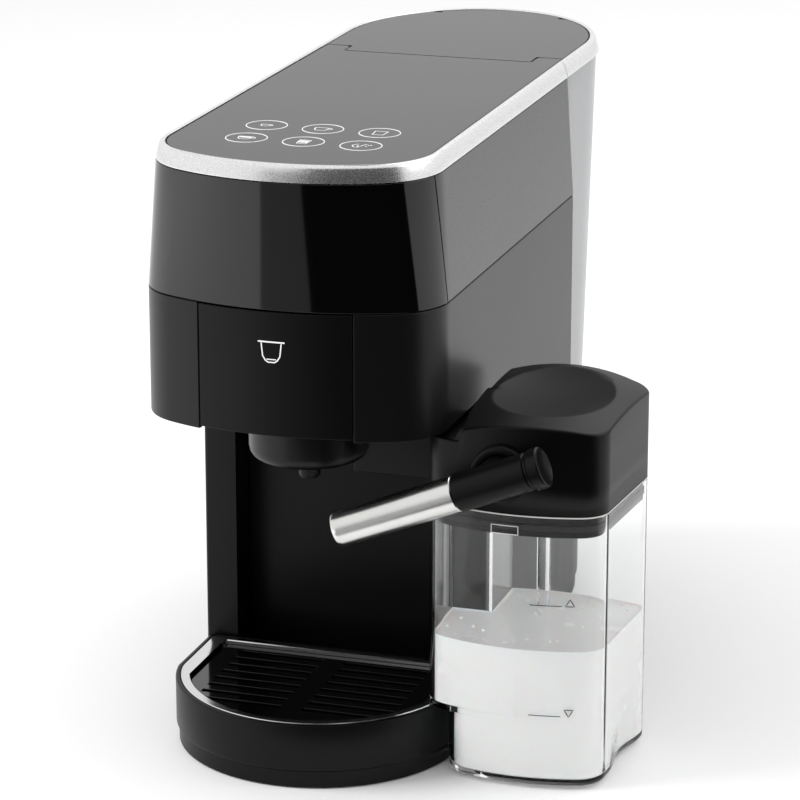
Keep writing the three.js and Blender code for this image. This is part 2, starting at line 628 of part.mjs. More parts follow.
function brewHead() {
  const [low, high] = [PISTON_BOTTOM + 3, BREW_TOP];
  const bore = PISTON_RADIUS + GAP;
  const body = block([-24, 24], [BREW_Y - 22, BREW_Y + 26], [low, high]);
  const hole = rod(bore, [0, BREW_Y, low - 1], [0, BREW_Y, high - 6], 36);
  const port = rod(1.5, [0, BREW_Y, high - 8], [0, BREW_Y, high + 1], 12);
  piece("brew_head", cut(body, hole, port), "metal");
  const [r, bottom] = [PISTON_RADIUS, PISTON_BOTTOM];
  piece("brew_piston", turned(
    [[0, bottom], [r - 3, bottom], [r, bottom + 2], [r, bottom + 20], [0, bottom + 20]],
    0, BREW_Y, 36,
  ), "brass");
}

function dripTray() {
  const [low, high] = [FLOOR_LEVEL, TRAY_TOP];
  const ledge = high - COVER_THICK - 2;
  const outer = prism(trayPlan(0), low, high);
  const upper = prism(trayPlan(TRAY_WALL), ledge, high + 1);
  const basin = prism(trayPlan(TRAY_WALL + 3), low + TRAY_FLOOR, high + 1);
  piece("drip_tray", cut(outer, upper, basin), "satin");

  const edge = TRAY_WALL + GAP;
  const cover = trayPlan(edge + TRIM_BAND + GAP, COVER_HALF);
  const hole = trayPlan(edge + TRIM_BAND, COVER_HALF + GAP);
  const trim = prism(trayPlan(edge), ledge + GAP, high + 0.2);
  piece("tray_trim", cut(trim, prism(hole, 0, WIDE)), "silver");

  const plate = prism(cover, ledge + GAP, ledge + GAP + COVER_THICK);
  const rows = Math.floor((COLUMN_FRONT - 12 - (TRAY_CENTRE - SLOT_REACH)) / SLOT_PITCH);
  const slots = Array.from({ length: rows }, (_, i) => {
    const y = TRAY_CENTRE - SLOT_REACH + SLOT_PITCH * (i + 0.75);
    const reach = Math.sqrt(Math.max(SLOT_REACH ** 2 - (y - TRAY_CENTRE) ** 2, 400));
    return [-1, 1].map((side) => {
      const [from, to] = side < 0 ? [-reach, -5] : [5, reach];
      return block([from, to], [y - SLOT_WIDTH / 2, y + SLOT_WIDTH / 2], [0, WIDE]);
    });
  }).flat();
  piece("drip_cover", cut(plate, ...slots), "gloss");
}

function milkContainer() {
  const upper = prism(milkPlan(), MILK_STEP, MILK_RIM);
  const lower = prism(milkPlan(0, MILK_FOOT_LEFT), MILK_BOTTOM, MILK_STEP + 1);
  const roomUp = prism(milkPlan(MILK_WALL), MILK_STEP + MILK_WALL, MILK_RIM + 1);
  const roomLow = prism(
    milkPlan(MILK_WALL, MILK_FOOT_LEFT),
    MILK_BOTTOM + MILK_FLOOR,
    MILK_STEP + MILK_WALL + 1,
  );
  piece("milk_container", cut(join(upper, lower), join(roomUp, roomLow)), "clear");

  const gasketLow = MILK_RIM - GASKET_DROP - GASKET_HEIGHT;
  const edge = MILK_WALL + 1;
  const skirtBottom = MILK_RIM - SKIRT_DEPTH;
  const plug = prism(milkPlan(edge), skirtBottom, MILK_RIM + 3);
  const hollow = prism(milkPlan(edge + SKIRT_WALL), skirtBottom - 1, MILK_RIM);
  const groove = cut(
    prism(milkPlan(edge - 1), gasketLow - GAP, gasketLow + GASKET_HEIGHT + GAP),
    prism(milkPlan(edge + 1), 0, WIDE),
  );
  const hole = rod(SUCTION.radius + GAP, [SUCTION.x, SUCTION.y, 0], [SUCTION.x, SUCTION.y, WIDE]);
  piece("milk_lid_plug", cut(plug, hollow, groove, hole), "matte");
  const gasket = prism(milkPlan(MILK_WALL + GAP), gasketLow, gasketLow + GASKET_HEIGHT);
  piece("lid_gasket", cut(gasket, prism(milkPlan(edge + 1 - GAP), 0, WIDE)), "rubber");

  const tip = MILK_BOTTOM + MILK_FLOOR + SUCTION.clear;
  const tube = rod(SUCTION.radius, [SUCTION.x, SUCTION.y, tip], [SUCTION.x, SUCTION.y, MILK_RIM + 8], 16);
  const bore = rod(SUCTION.bore, [SUCTION.x, SUCTION.y, 0], [SUCTION.x, SUCTION.y, WIDE], 16);
  piece("milk_suction_tube", cut(tube, bore), "clear");
}

/** An ellipsoid about (x, y, z). */
function ellipsoid([x, y, z], [radiusX, radiusY, radiusZ], across, down) {
  const geometry = new THREE.SphereGeometry(1, across, down).rotateX(Math.PI / 2);
  return solid(geometry.scale(radiusX, radiusY, radiusZ).translate(x, y, z));
}

function milkLid() {
  const { x, y, top: crownTop, bowX, bowY, height } = LID_DOME;
  const reach = [Math.sqrt(bowX * height), Math.sqrt(bowY * height), height];
  const scoop = LID_SCOOP;
  const tall = prism(milkPlan(), MILK_RIM + GAP, crownTop + 5);
  const crown = ellipsoid([x, y, crownTop - height], reach, 80, 64);
  const hollow = [scoop.radius, scoop.radius, scoop.radius];
  const dish = ellipsoid([scoop.x, scoop.y, scoop.bottom + scoop.radius], hollow, 80, 80);
  const underHead = block([0, LID_LOW_RIGHT], [0, WIDE], [LID_LOW_TOP, WIDE]);
  const cavity = prism(milkPlan(WALL), 0, LID_CAVITY_TOP);
  const shaft = rod(SHAFT_RADIUS + GAP, [PIVOT.x, MILK.front - 5, PIVOT.z], [PIVOT.x, MILK.front + 8, PIVOT.z]);
  const port = rod(STEAM.radius + GAP, [STEAM.x, MILK.notchY - 8, STEAM.z], [STEAM.x, MILK.notchY + 5, STEAM.z]);
  piece("milk_lid", cut(tall.intersect(crown), dish, underHead, cavity, shaft, port), "matte");
}

/** A point on the spout's own axis, at a distance from the pivot towards the mouth. */
function onSpout(distance) {
  return [PIVOT.x - distance * Math.cos(SPOUT_TILT), SPOUT_Y, PIVOT.z - distance * Math.sin(SPOUT_TILT)];
}

function spout() {
  const face = MILK.front - GAP;
  const ringBack = face - 0.1;
  const ringFront = ringBack - PIVOT_RING.thick;
  const disc = rod(PIVOT_RING.radius, [PIVOT.x, ringFront, PIVOT.z], [PIVOT.x, ringBack, PIVOT.z], 40);
  const eye = rod(PIVOT_RING.bore, [PIVOT.x, 0, PIVOT.z], [PIVOT.x, WIDE, PIVOT.z], 32);
  piece("spout_pivot_ring", cut(disc, eye), "matte");

  const sleeve = rod(SLEEVE_RADIUS, onSpout(-SLEEVE_REAR), onSpout(SLEEVE_FRONT), 32);
  const spigotRadius = TUBE_RADIUS - TUBE_WALL - GAP;
  const spigot = rod(spigotRadius, onSpout(SLEEVE_FRONT - 1), onSpout(SLEEVE_FRONT + SPIGOT_LENGTH), 24);
  const neck = rod(PIVOT_RING.bore - GAP, [PIVOT.x, SPOUT_Y, PIVOT.z], [PIVOT.x, face - 0.4, PIVOT.z], 32);
  const shaft = rod(SHAFT_RADIUS, [PIVOT.x, SPOUT_Y, PIVOT.z], [PIVOT.x, MILK.front + SHAFT_LENGTH, PIVOT.z]);
  const channel = rod(3, onSpout(0), onSpout(SLEEVE_FRONT + SPIGOT_LENGTH + 1), 16);
  const feed = rod(3, [PIVOT.x, SPOUT_Y, PIVOT.z], [PIVOT.x, WIDE, PIVOT.z], 16);
  piece("spout_arm", cut(join(sleeve, spigot, neck, shaft), channel, feed), "matte");

  const outer = rod(TUBE_RADIUS, onSpout(SLEEVE_FRONT + GAP), onSpout(TUBE_MOUTH), 32);
  const bore = rod(TUBE_RADIUS - TUBE_WALL, onSpout(0), onSpout(TUBE_MOUTH + 1), 32);
  piece("spout_tube", cut(outer, bore), "steel");
  const capStart = -SLEEVE_REAR - GAP;
  piece("spout_cap", rod(CAP_RADIUS, onSpout(capStart - CAP_LENGTH), onSpout(capStart), 32), "matte");
}

function waterTank() {
  const top = BAND_TOP - GAP;
  const levels = (inset, low, high) => [
    { z: low, outline: bodyPlan(REAR_PLAN, inset) },
    { z: high, outline: bodyPlan(TANK_PLAN, inset) },
  ];
  const outer = loft(levels(0, TANK_BOTTOM, top));
  const frontWall = before(LID_SEAM + SPLIT + TANK_WALL);
  const room = cut(loft(levels(TANK_WALL, TANK_BOTTOM + TANK_WALL, top + 1)), frontWall);
  const hole = rod(VALVE.stem + GAP, [0, VALVE.y, 0], [0, VALVE.y, TANK_BOTTOM + 10]);
  piece("water_tank", cut(outer, room, before(REAR_SEAM + SPLIT), bulkheadRoom(), hole), "smoke");
  const hingeZ = (PANEL_TOP + PANEL_BOTTOM) / 2;
  const lidEdge = edgeX(PANEL, LID_HINGE.y);
  const across = (radius, from, to) =>
    rod(radius, [from, LID_HINGE.y, hingeZ], [to, LID_HINGE.y, hingeZ], 12);
  const pins = [-1, 1].map((side) =>
    across(LID_HINGE.pin, side * (lidEdge - LID_HINGE.reach), side * (lidEdge + LID_HINGE.reach)),
  );
  piece("tank_trim_ring", join(cut(trimRing(), before(REAR_SEAM + SPLIT)), ...pins), "silver");

  const floor = TANK_BOTTOM + TANK_WALL + GAP;
  piece("tank_valve", turned(
    [
      [0, TANK_BOTTOM - VALVE.drop], [VALVE.stem - 1, TANK_BOTTOM - VALVE.drop],
      [VALVE.stem, TANK_BOTTOM - VALVE.drop + 1], [VALVE.stem, floor], [VALVE.flange, floor],
      [VALVE.flange, floor + 2], [4, floor + VALVE.rise], [0, floor + VALVE.rise],
    ],
    0, VALVE.y, 24,
  ), "matte");

  const plate = cut(prism(bodyPlan(PANEL), PANEL_BOTTOM, PANEL_TOP), before(LID_SEAM + SPLIT));
  const tab = block(
    [-TAB_HALF, TAB_HALF],
    [LID_SEAM - TAB_LENGTH + SPLIT, LID_SEAM + 5],
    [PANEL_BOTTOM, PANEL_TOP],
  );
  const inset = UPPER.half - PANEL.half + 1;
  const plugBottom = top - LID_PLUG_DEPTH;
  const plug = cut(
    prism(bodyPlan(UPPER, inset), plugBottom, PANEL_BOTTOM + 1),
    prism(bodyPlan(UPPER, inset + 2), 0, WIDE),
    before(LID_SEAM + 8),
  );
  const bores = [-1, 1].map((side) =>
    across(LID_HINGE.bore, side * (lidEdge - LID_HINGE.reach - GAP), side * (lidEdge + 10)),
  );
  const reliefs = [-1, 1].map((side) => {
    const [inner, outer] = [side * (lidEdge - LID_HINGE.relief), side * (lidEdge + 10)];
    const span = [Math.min(inner, outer), Math.max(inner, outer)];
    return block(span, [LID_HINGE.y - 2, LID_HINGE.y + 4], [plugBottom - 1, WIDE]);
  });
  piece("tank_lid", cut(join(plate, tab, plug), ...bores, ...reliefs), "panel");
}

function steamPort() {
  const deep = COLUMN_FRONT + RECESS_DEPTH;
  const body = block(
    [10, RECESS_HALF - GAP],
    [COLUMN_FRONT - PORT_REACH, deep - GAP],
    [HEAD_BOTTOM - PORT_HEIGHT, HEAD_BOTTOM - SEAM],
  );
  piece("steam_port_block", body, "satin");
  const [back, tip] = [COLUMN_FRONT - GAP, MILK.notchY - STEAM.plug];
  const pipe = rod(STEAM.radius, [STEAM.x, tip, STEAM.z], [STEAM.x, back, STEAM.z]);
  const flange = rod(5, [STEAM.x, back - 8, STEAM.z], [STEAM.x, back, STEAM.z]);
  const bore = rod(STEAM.bore, [STEAM.x, 0, STEAM.z], [STEAM.x, WIDE, STEAM.z], 12);
  piece("steam_nozzle", cut(join(pipe, flange), bore), "metal");
}

function works() {
  const pump = PUMP;
  const pumpTop = pump.bottom + pump.height;
  piece("pump", turned(
    [
      [0, pump.bottom], [pump.radius - 4, pump.bottom], [pump.radius - 4, pump.bottom + 18],
      [pump.radius, pump.bottom + 18], [pump.radius, pumpTop - 30], [9, pumpTop - 26], [9, pumpTop - 8],
      [4, pumpTop - 8], [4, pumpTop], [0, pumpTop],
    ],
    pump.x, pump.y, 28,
  ), "metal");
  const sock = pump.radius - 4 + GAP;
  piece("pump_mount_lower", turned(
    [
      [0, FLOOR_LEVEL], [sock + 5, FLOOR_LEVEL], [sock + 5, pump.bottom + 12], [sock, pump.bottom + 12],
      [sock, pump.bottom - GAP], [0, pump.bottom - GAP],
    ],
    pump.x, pump.y, 28,
  ), "rubber");
  const collar = [
    [9 + GAP, pumpTop - 20], [16, pumpTop - 20], [16, pumpTop - 12], [9 + GAP, pumpTop - 12],
    [9 + GAP, pumpTop - 20],
  ];
  piece("pump_mount_upper", turned(collar, pump.x, pump.y, 28), "rubber");

  const around = (centre, size) => [centre - size / 2, centre + size / 2];
  const heater = HEATER;
  const heaterTop = heater.bottom + heater.height;
  const core = block(
    around(heater.x, heater.width), around(heater.y, heater.depth), [heater.bottom, heaterTop],
  );
  const legs = [-1, 1].map((side) =>
    rod(4, [heater.x + side * 15, heater.y, FLOOR_LEVEL], [heater.x + side * 15, heater.y, heater.bottom + 1], 12),
  );
  const stub = rod(3, [heater.x - 12, heater.y - 22, heaterTop - 1], [heater.x - 12, heater.y - 22, heaterTop + 5], 12);
  piece("heater_block", join(core, ...legs, stub), "metal");

  const valve = VALVE_BLOCK;
  const valveTop = valve.bottom + valve.height;
  const box = block(around(valve.x, valve.size), around(valve.y, valve.size), [valve.bottom, valveTop]);
  const coil = rod(11, [valve.x, valve.y, valveTop - 1], [valve.x, valve.y, valveTop + 22], 20);
  piece("steam_valve", join(box, coil), "metal");

  const meter = METER;
  const meterTop = meter.bottom + meter.height;
  piece("flow_meter", rod(
    meter.radius, [meter.x, meter.y, meter.bottom], [meter.x, meter.y, meterTop], 24,
  ), "hose");

  const wall = LOWER.half - WALL - 2;
  const board = block([-wall, -wall + 1.6], [120, 215], [160, BAND_BOTTOM - 6]);
  const parts = [[135, 20, 14], [165, 14, 18], [190, 22, 10]].map(([y, length, tall]) =>
    block([-wall + 1, -wall + 1 + tall], [y - length / 2, y + length / 2], [170, 188]),
  );
  piece("control_board", join(board, ...parts), "board");
  const touchTop = BAND_TOP - 2;
  piece("touch_board", block([-38, 38], [20, 92], [touchTop - 1.6, touchTop]), "board");

  const high = TANK_BOTTOM - GAP;
  piece("tank_hose", hose([
    [0, VALVE.y, high - SOCKET_DEPTH - 0.5], [0, VALVE.y, 62], [-8, VALVE.y - 12, 44], [-20, LID_SEAM + 6, 40],
    [-20, LID_SEAM - 12, 40], [-26, meter.y + 2, 52], [-30, meter.y, 80], [-30, meter.y, meter.bottom - 0.5],
  ]), "hose");
  piece("pump_hose", hose([
    [meter.x, meter.y - 6, meterTop + 0.5], [meter.x, meter.y - 7, meterTop + 7], [pump.x, 190, meterTop + 9],
    [pump.x, pump.y + 6, meterTop + 4], [pump.x, pump.y, pumpTop + 8], [pump.x, pump.y, pumpTop + 0.5],
  ]), "hose");
  const stubTop = heaterTop + 5.5;
  piece("brew_hose", hose([
    [heater.x - 12, heater.y - 22, stubTop], [heater.x - 13, heater.y - 23, stubTop + 20],
    [6, 130, 150], [2, 118, 200], [0, 90, 238], [0, BREW_Y + 6, 240],
    [0, BREW_Y, 235], [0, BREW_Y, BREW_TOP + 0.5],
  ]), "hose");
  piece("steam_hose", hose([
    [valve.x, valve.y - valve.size / 2 - 0.5, 110], [valve.x, valve.y - valve.size / 2 - 8, 110],
    [50, 130, 122], [STEAM.x - 2, 112, STEAM.z], [STEAM.x, COLUMN_FRONT + WALL + 0.6, STEAM.z],
  ], STEAM_HOSE_RADIUS), "hose");
}

base();
sidePanels();
columnFront();
headFloor();
upperBand();
top();
rearHousing();
bulkhead();
mains();
powerSwitch();
outlet();
podDrawer();
brewHead();
dripTray();
milkContainer();
milkLid();
spout();
waterTank();
steamPort();
works();

// The machine stands on the origin: the middle of its box, at the lowest point.
const extent = new THREE.Box3().setFromObject(machine);
const middle = extent.getCenter(new THREE.Vector3());
machine.position.set(-middle.x, -middle.y, -extent.min.z);

const part = new THREE.Group();
part.add(machine);
export default part;
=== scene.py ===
# %% [markdown]
# # A pod coffee machine, dressed around its CAD frame
# The machine's bodies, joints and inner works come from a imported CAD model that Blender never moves.
# This lesson puts the visible skins on it: smooth panels with real edges, clear plastics, printed signs and
# finishes that are written as node trees. Lengths are in millimetres, and are turned into metres at the end.

# %% Load the frame
import math

import bmesh
import bpy
import numpy as np
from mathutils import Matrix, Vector


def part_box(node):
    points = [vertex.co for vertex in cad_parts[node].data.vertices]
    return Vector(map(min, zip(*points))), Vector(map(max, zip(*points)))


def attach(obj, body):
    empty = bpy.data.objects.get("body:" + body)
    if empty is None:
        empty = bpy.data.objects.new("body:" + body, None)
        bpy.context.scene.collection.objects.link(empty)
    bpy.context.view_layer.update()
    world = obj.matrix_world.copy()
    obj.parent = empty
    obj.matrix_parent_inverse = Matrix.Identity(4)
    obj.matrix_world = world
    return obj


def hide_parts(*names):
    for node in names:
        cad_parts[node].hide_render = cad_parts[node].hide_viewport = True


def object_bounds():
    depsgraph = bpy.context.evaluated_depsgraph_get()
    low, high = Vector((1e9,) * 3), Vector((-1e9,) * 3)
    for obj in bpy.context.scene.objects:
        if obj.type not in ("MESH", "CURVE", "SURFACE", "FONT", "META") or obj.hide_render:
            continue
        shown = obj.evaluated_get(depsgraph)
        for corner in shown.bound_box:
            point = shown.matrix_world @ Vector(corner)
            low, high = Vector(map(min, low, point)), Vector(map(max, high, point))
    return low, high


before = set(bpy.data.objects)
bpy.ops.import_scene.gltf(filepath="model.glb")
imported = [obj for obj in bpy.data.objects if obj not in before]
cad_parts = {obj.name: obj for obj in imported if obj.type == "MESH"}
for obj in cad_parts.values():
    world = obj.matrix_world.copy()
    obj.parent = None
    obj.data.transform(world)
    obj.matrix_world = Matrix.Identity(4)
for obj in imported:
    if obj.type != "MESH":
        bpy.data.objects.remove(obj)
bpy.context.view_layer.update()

# %% [markdown]
# ## Where things are
# The outlines below are written about the machine's middle plane, with y = 0 at the pod drawer's front.
# The frame stands the whole machine on the origin instead, so one shift joins the two: the touch panel's box
# gives the middle plane and the drawer's box gives the front.

# %% The shift between the outlines and the frame
panel_low, panel_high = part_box("touch_panel")
SHIFT = np.array([(panel_low.x + panel_high.x) / 2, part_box("pod_drawer_front")[0].y, 0.0])
MM = 0.001


def to_frame(points):
    """Millimetres about the machine's middle plane, as metres in the frame."""
    return np.asarray(points, float).reshape(-1, 3) * MM + SHIFT


def mesh_of(name, points, faces):
    """A mesh in the frame's metres, from corners in millimetres."""
    mesh = bpy.data.meshes.new(name)
    mesh.from_pydata(to_frame(points).tolist(), [], [tuple(face) for face in faces])
    return mesh


def linked(name, data):
    """A new object in the scene, at the origin."""
    thing = bpy.data.objects.new(name, data)
    bpy.context.scene.collection.objects.link(thing)
    return thing


def from_frame(corner):
    """A corner of a frame box, back in millimetres about the middle plane."""
    return (np.array(corner) - SHIFT) / MM


def level(node, side):
    """A node's lowest (0) or highest (1) height, in millimetres."""
    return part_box(node)[side].z / MM


print("shift, mm:", np.round(SHIFT / MM, 2))

# %% [markdown]
# ## Shader maths as Python
# A node tree is easier to read as a sum than as a list of links. A small class wraps one socket and turns
# + and * into Math nodes, also when a plain number stands on the left. Every other node comes from one
# method: its type, its settings, and the values or links of its sockets.


# %% The expression class and the finish writer
def new_node(tree, kind, settings, inputs):
    """A node of either kind of tree: its settings first, then the values or links of its sockets."""
    made = tree.nodes.new(kind)
    for key, value in (settings or {}).items():
        setattr(made, key, value)
    for key, value in (inputs or {}).items():
        value = getattr(value, "socket", value)
        if isinstance(value, bpy.types.NodeSocket):
            tree.links.new(value, made.inputs[key])
        else:
            made.inputs[key].default_value = value
    return made


class Tone:
    """One output socket of a node, which can stand in a sum or a product."""

    def __init__(self, finish, socket):
        self.finish, self.socket = finish, socket

    def maths(self, operation, first, second):
        return self.finish.node("ShaderNodeMath", {"operation": operation}, {0: first, 1: second})

    def __add__(self, other):
        return self.maths("ADD", self, other)

    def __radd__(self, other):
        return self.maths("ADD", other, self)

    def __mul__(self, other):
        return self.maths("MULTIPLY", self, other)

    def __rmul__(self, other):
        return self.maths("MULTIPLY", other, self)


class Finish:
    """A material whose steady values sit on the shader and whose varying ones come from nodes."""

    def __init__(self, name, **steady):
        self.material = bpy.data.materials.new(name)
        self.material.use_nodes = True
        self.tree = self.material.node_tree
        self.shader = next(n for n in self.tree.nodes if n.type == "BSDF_PRINCIPLED")
        for socket, value in steady.items():
            self.hold(socket.replace("_", " ").title().replace("Ior", "IOR"), value)

    def node(self, kind, settings=None, inputs=None, out=0):
        return Tone(self, new_node(self.tree, kind, settings, inputs).outputs[out])

    def feed(self, socket, value):
        """Links a varying value to one of the shader's sockets."""
        self.tree.links.new(value.socket, self.shader.inputs[socket])

    def hold(self, socket, value):
        """Sets a steady value on the shader's own socket."""
        self.shader.inputs[socket].default_value = value

    def place(self, stretch=(1, 1, 1), turn=(0, 0, 0)):
        """Object coordinates, turned and stretched."""
        raw = self.node("ShaderNodeTexCoord", out="Object")
        return self.node("ShaderNodeMapping", {}, {"Vector": raw, "Rotation": turn, "Scale": stretch})

    def noise(self, scale, detail=2.0, **where):
        return self.node(
            "ShaderNodeTexNoise", {}, {"Vector": self.place(**where), "Scale": scale, "Detail": detail}
        )

    def blend(self, mask, dark, light):
        """A colour between two, by a mask."""
        settings = {"data_type": "RGBA"}
        inputs = {0: mask, 6: (*dark, 1), 7: (*light, 1)}
        return self.node("ShaderNodeMix", settings, inputs, out=2)

    def bump(self, height, depth_mm, strength=1.0):
        """A relief under the surface's own shape, which ends a finish."""
        made = {"Height": height, "Strength": strength, "Distance": depth_mm * MM}
        self.feed("Normal", self.node("ShaderNodeBump", {}, made))
        return self


print("finish writer ready")

# %% [markdown]
# ## Black plastics
# Nearly everything here is black polymer, and what the eye reads is how each surface returns the room.
# The casing has a fine spark-eroded grain that softens reflections, the drawer and lid are a little duller,
# and the band above the drawer is polished, with a faint horizontal ripple left by its mould.


# %% Moulded plastics
def moulded(name, shade, rough, grain_mm, depth_mm, spread=0.06, shine=0.5):
    """Black moulded plastic: a fine grain, and a slow change of shade and gloss over the part."""
    finish = Finish(name, ior=1.5)
    finish.hold("Specular IOR Level", shine)
    slow = finish.noise(9.0, 3.0)
    grain = finish.noise(1 / (grain_mm * MM), 1.5)
    light = tuple(c * 1.5 for c in shade)
    finish.feed("Base Color", finish.blend(slow, shade, light))
    finish.feed("Roughness", rough - spread / 2 + spread * slow + 0.05 * grain)
    return finish.bump(grain, depth_mm)


satin = moulded("satin_casing", (0.003, 0.003, 0.0032), 0.31, 0.55, 0.006, shine=0.26)
upper_satin = moulded("satin_upper_casing", (0.007, 0.007, 0.0074), 0.25, 0.55, 0.010, shine=0.5)
matte = moulded("matte_black", (0.0016, 0.0016, 0.0017), 0.33, 0.6, 0.007, shine=0.18)
rubber = moulded("black_rubber", (0.012, 0.012, 0.012), 0.75, 0.9, 0.05)


def polished(name, shade, rough, ripple_mm, depth_mm, shine):
    """Polished plastic or glass with a very slight horizontal ripple and a breath of dust in the gloss."""
    finish = Finish(name, ior=1.5)
    finish.hold("Specular IOR Level", shine)
    dust = finish.noise(140.0, 4.0)
    slow = finish.noise(14.0, 2.0)
    finish.feed("Base Color", finish.blend(slow, shade, tuple(c * 1.4 for c in shade)))
    finish.feed("Roughness", rough + 0.03 * dust)
    wobble = finish.noise(60.0, 1.0, stretch=(0.25, 0.25, 1 / (60 * ripple_mm * MM)))
    return finish.bump(wobble, depth_mm)


gloss = polished("gloss_band", (0.0012, 0.0012, 0.0013), 0.06, 1.3, 0.006, 0.5)
panel = polished("touch_glass", (0.009, 0.009, 0.0095), 0.17, 9.0, 0.004, 0.24)
print("plastics:", [m.material.name for m in (satin, matte, rubber, gloss, panel)])

# %% [markdown]
# ## Metals
# The trim ring is plastic with a metallic lacquer: tiny flakes tilt the surface and sparkle, so a fine
# Voronoi pattern feeds both the colour and the bump. The spout is a drawn stainless tube with hair lines
# along its length, made from noise that is stretched along the spout's own direction.

# %% Lacquer, steel and the plainer metals
SPOUT_TILT = math.radians(22.2)


def lacquer():
    finish = Finish("silver_lacquer", metallic=0.92, ior=1.5)
    flakes = finish.node(
        "ShaderNodeTexVoronoi", {}, {"Vector": finish.place(), "Scale": 3200.0}, out="Color"
    )
    flake = finish.node("ShaderNodeSeparateColor", {}, {0: flakes}, out=0)
    finish.feed("Base Color", finish.blend(flake, (0.72, 0.72, 0.725), (0.93, 0.93, 0.935)))
    finish.feed("Roughness", 0.20 + 0.10 * flake)
    return finish.bump(flake, 0.006)


def drawn(name, low, high, rough, scale, stretch, turn=(0, 0, 0), depth_mm=0.006):
    """Metal with hair lines: noise that is long one way and short the others."""
    finish = Finish(name, metallic=1.0)
    hair = finish.noise(scale, 3.0, stretch=stretch, turn=turn)
    slow = finish.noise(20.0, 2.0)
    finish.feed("Base Color", finish.blend(slow, low, high))
    finish.feed("Roughness", rough + 0.14 * hair)
    return finish.bump(hair, depth_mm, 0.6)


silver = lacquer()
steel = drawn(
    "stainless_tube", (0.74, 0.735, 0.72), (0.84, 0.835, 0.82), 0.16, 900.0, (0.03, 1, 1), (0, -SPOUT_TILT, 0)
)
bright = drawn("bright_trim", (0.70, 0.70, 0.70), (0.80, 0.80, 0.80), 0.12, 700.0, (0.05, 0.05, 1))
metal = drawn("cast_metal", (0.36, 0.36, 0.365), (0.46, 0.46, 0.465), 0.34, 420.0, (1, 1, 0.3), depth_mm=0.03)
brass = drawn("brass", (0.46, 0.33, 0.13), (0.58, 0.43, 0.19), 0.26, 500.0, (1, 1, 0.2))
print("metals: lacquer, steel, bright, cast metal, brass")

# %% [markdown]
# ## Clear and frosted plastics, milk and print
# The milk container is clear copolyester, so its shader lets light through and bends it. The water tank is
# the same idea with a frosted, greyish body. Milk scatters light close under its skin, which subsurface
# scattering gives, and it also has a faint painted glow: a weak emission that makes it brighter than the
# light reaching it through the clear wall. The signs are plain ink.


# %% Clear plastics, milk, ink and the inner works
def see_through(name, colour, rough, weight, bend):
    """Plastic that lets light through and bends it."""
    finish = Finish(name, transmission_weight=weight, ior=bend)
    smear = finish.noise(35.0, 3.0)
    finish.feed("Base Color", finish.blend(smear, tuple(c * 0.985 for c in colour), colour))
    finish.feed("Roughness", rough + 0.02 * smear)
    return finish


clear = see_through("clear_container", (0.99, 0.995, 0.995), 0.008, 1.0, 1.3)
smoke = see_through("frosted_tank", (0.54, 0.55, 0.56), 0.24, 0.66, 1.45)


def plain(name, low, high, rough, scale, **steady):
    finish = Finish(name, **steady)
    spots = finish.noise(scale, 3.0)
    finish.feed("Base Color", finish.blend(spots, low, high))
    finish.feed("Roughness", rough + 0.08 * spots)
    return finish.bump(spots, 0.01)


milk = plain("milk", (0.93, 0.93, 0.925), (0.96, 0.96, 0.955), 0.22, 70.0, subsurface_weight=0.35)
milk.hold("Subsurface Scale", 0.004)
# Painted glow: a weak white emission brightens the milk and its bubbles, though they are no lamp.
milk.hold("Emission Color", (1.0, 1.0, 0.985, 1))
milk.hold("Emission Strength", 0.1)
ink = plain("white_ink", (0.80, 0.80, 0.80), (0.88, 0.88, 0.88), 0.45, 300.0)
dark_ink = plain("dark_ink", (0.02, 0.02, 0.02), (0.03, 0.03, 0.03), 0.5, 300.0)
board = plain("circuit_board", (0.012, 0.09, 0.035), (0.02, 0.13, 0.05), 0.38, 260.0)
hose = plain("silicone_hose", (0.60, 0.59, 0.56), (0.70, 0.69, 0.66), 0.42, 120.0, subsurface_weight=0.1)

SLOTS = {
    "satin": satin, "matte": matte, "gloss": gloss, "panel": panel, "silver": silver, "steel": steel,
    "clear": clear, "smoke": smoke, "rubber": rubber, "metal": metal, "board": board, "hose": hose,
    "brass": brass,
}
print("finishes for the record's slots:", sorted(SLOTS))

# %% [markdown]
# ## Making a piece
# Every new piece goes through one function. It takes corners in millimetres, writes them into a mesh in the
# frame's metres, shades it smooth except across real edges, and gives the edges a small round. The object
# itself stays at the origin, so object coordinates are the frame's own and patterns don't slide.

# %% The piece maker
SMOOTH_BELOW = math.radians(32)


def add_bevel(thing, width_mm, angle=35, segments=2):
    edge = thing.modifiers.new("edge round", "BEVEL")
    edge.width = width_mm * MM
    edge.segments = segments
    edge.limit_method = "ANGLE"
    edge.angle_limit = math.radians(angle)
    edge.harden_normals = True
    edge.use_clamp_overlap = True
    return edge


def piece(name, points, faces, finish, body, slot=None, stands_for=(), wall=0.0, edge=0.0, closed=True):
    """One new piece. wall gives a skin its thickness, inwards, and edge rounds its rims."""
    mesh = mesh_of(name, points, faces)
    shape = bmesh.new()
    shape.from_mesh(mesh)
    bmesh.ops.remove_doubles(shape, verts=shape.verts, dist=1e-6)
    if closed:
        bmesh.ops.recalc_face_normals(shape, faces=shape.faces)
    shape.to_mesh(mesh)
    shape.free()
    mesh.shade_smooth()
    mesh.set_sharp_from_angle(angle=SMOOTH_BELOW)
    mesh.materials.append(finish.material)
    thing = linked(name, mesh)
    if wall:
        solid = thing.modifiers.new("wall", "SOLIDIFY")
        solid.thickness = wall * MM
        solid.offset = -1
    if edge:
        add_bevel(thing, edge)
    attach(thing, body)
    if stands_for:
        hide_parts(*stands_for)
    return thing


def quads(rows, columns, around=False, stacked=False):
    """Faces of a grid of rows x columns. around closes each row, stacked closes the rows."""
    faces = []
    for row in range(rows if stacked else rows - 1):
        for column in range(columns if around else columns - 1):
            right, up = (column + 1) % columns, (row + 1) % rows
            faces.append(
                (row * columns + column, row * columns + right, up * columns + right, up * columns + column)
            )
    return faces


